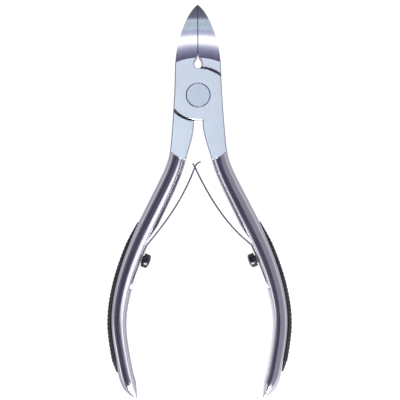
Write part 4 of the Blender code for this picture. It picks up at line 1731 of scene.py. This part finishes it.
    def tent(self) -> None:
        """Light the nipper from a tent of graded tones, with bands straight ahead of the jaws."""
        world = bpy.data.worlds.new("light_tent")
        bpy.context.scene.world = world
        world.use_nodes = True
        graph = Graph(world.node_tree)
        world.node_tree.nodes.clear()
        direction = graph.add("ShaderNodeTexCoord").outputs["Generated"]
        parts = graph.add("ShaderNodeSeparateXYZ", {"Vector": direction})
        x, y, z = (parts.outputs[name] for name in "XYZ")
        across = graph.math("DEGREES", graph.math("ARCTAN2", x, z))
        ahead = graph.math("DEGREES", graph.math("ARCTAN2", y, z))

        sweep = self._ramp(graph, graph.math("DIVIDE", graph.math("ADD", across, 180.0), 360.0), [
            ((angle + 180.0) / 360.0, colour) for angle, colour in self.TENT_SWEEP])
        outer, inner = self.HORIZON
        along = graph.math("MULTIPLY", graph.spread(ahead, -outer, -inner),
                           graph.spread(ahead, outer, inner))
        tent = graph.blend(along, self.HORIZON_TONE, sweep)
        behind, beside = (
            graph.math("MULTIPLY", graph.spread(ahead, *forward), graph.spread(across, *sideways))
            for forward, sideways in (self.BEHIND, self.BESIDE))
        panels = graph.math("MULTIPLY", graph.math("ADD", behind, beside), graph.math(
            "MULTIPLY", graph.spread(graph.math("ABSOLUTE", across), *self.PANEL_SIDES),
            graph.spread(ahead, *self.PANEL_FOOT)))
        tent = graph.blend(panels, tent, self.PANEL_TONE)

        bands = self._ramp(graph, graph.math("DIVIDE", ahead, 90.0), [
            (angle / 90.0, colour) for angle, colour in self.JAW_BANDS])
        middle = graph.math(
            "MULTIPLY", graph.spread(graph.math("ABSOLUTE", across), *self.BAND_SIDES),
            graph.spread(ahead, *self.BAND_START))
        banded = graph.blend(middle, tent, bands)

        seen = graph.add("ShaderNodeLightPath").outputs["Is Camera Ray"]
        shown = graph.blend(seen, banded, (1.05, 1.05, 1.05))
        lit = graph.add("ShaderNodeBackground", {"Color": shown, "Strength": 1.0})
        graph.add("ShaderNodeOutputWorld", {"Surface": lit.outputs[0]})

    def softbox(self) -> None:
        """Hang the broad key light on the handles' side."""
        data = bpy.data.lights.new("softbox", "AREA")
        data.shape = "RECTANGLE"
        data.size, data.size_y = 0.30, 0.22
        data.energy = self.key_power
        data.color = self.key_colour
        made = bpy.data.objects.new(data.name, data)
        tilt = radians(self.key_tilt)
        reach = 0.55
        made.location = Vector((*self.aim, 0)) + Vector((0, -sin(tilt), cos(tilt))) * reach
        made.rotation_euler = (tilt, 0, 0)
        bpy.context.scene.collection.objects.link(made)

    def card(self) -> None:
        """Hold a pale card over the right handle, where only the steel sees it."""
        edge = [(x * MM, y * MM) for x, y in self.CARD_EDGE]
        corners = edge + [(self.card_reach, edge[-1][1]), (self.card_reach, edge[0][1])]
        card = prism("pale_card", [(corners, self.card_height),
                                   (corners, self.card_height + MM)])
        look = bpy.data.materials.new("pale_card")
        look.use_nodes = True
        graph = Graph(look.node_tree)
        own = graph.add("ShaderNodeTexCoord").outputs["Object"]
        sideways = graph.add("ShaderNodeSeparateXYZ", {"Vector": own}).outputs["X"]
        tone = graph.blend(graph.spread(sideways, 20 * MM, 75 * MM), *self.card_tones)
        glow = graph.add("ShaderNodeEmission", {"Color": tone, "Strength": 1.0})
        graph.feed(look.node_tree.nodes["Material Output"].inputs["Surface"], glow.outputs[0])
        card.data.materials.append(look)
        card.visible_camera = card.visible_diffuse = card.visible_shadow = False

    def build(self) -> None:
        """Set up everything round the nipper."""
        self.floor()
        self.tent()
        self.softbox()
        self.card()
        self.camera()
        bpy.context.scene.view_settings.view_transform = "Standard"


# ---- The whole nipper -----------------------------------------------------------------------------


def main() -> None:
    """Build the nipper's pieces in order, then the studio."""
    logging.basicConfig(level=logging.INFO, format="%(name)s: %(message)s")
    plan = Plan.from_frame()
    outline = Outline(plan)
    finishes = Finishes.build()
    assemblies = [
        Lever("front_lever_steel", "front_lever", "front_half", Side.RIGHT, plan, outline),
        Lever("rear_lever_steel", "rear_lever", "rear_half", Side.LEFT, plan, outline),
        Rivet("flush_rivet", "pivot_rivet", "rear_half", plan),
        SpringLeaf("left_leaf_spring", "left_spring_leaf", "left_leaf", "rear_half",
                   Side.LEFT, plan),
        SpringLeaf("right_leaf_spring", "right_spring_leaf", "right_leaf", "front_half",
                   Side.RIGHT, plan),
        SpringScrew("left_leaf_screw", "left_spring_screw", "rear_half", Side.LEFT, plan),
        SpringScrew("right_leaf_screw", "right_spring_screw", "front_half", Side.RIGHT, plan),
        GripStrip("left_grip_strip", "left_grip", "rear_half", Side.LEFT, plan),
        GripStrip("right_grip_strip", "right_grip", "front_half", Side.RIGHT, plan),
    ]
    for assembly in assemblies:
        assembly.finish(finishes)
    Studio(plan).build()


if __name__ == "__main__":
    main()
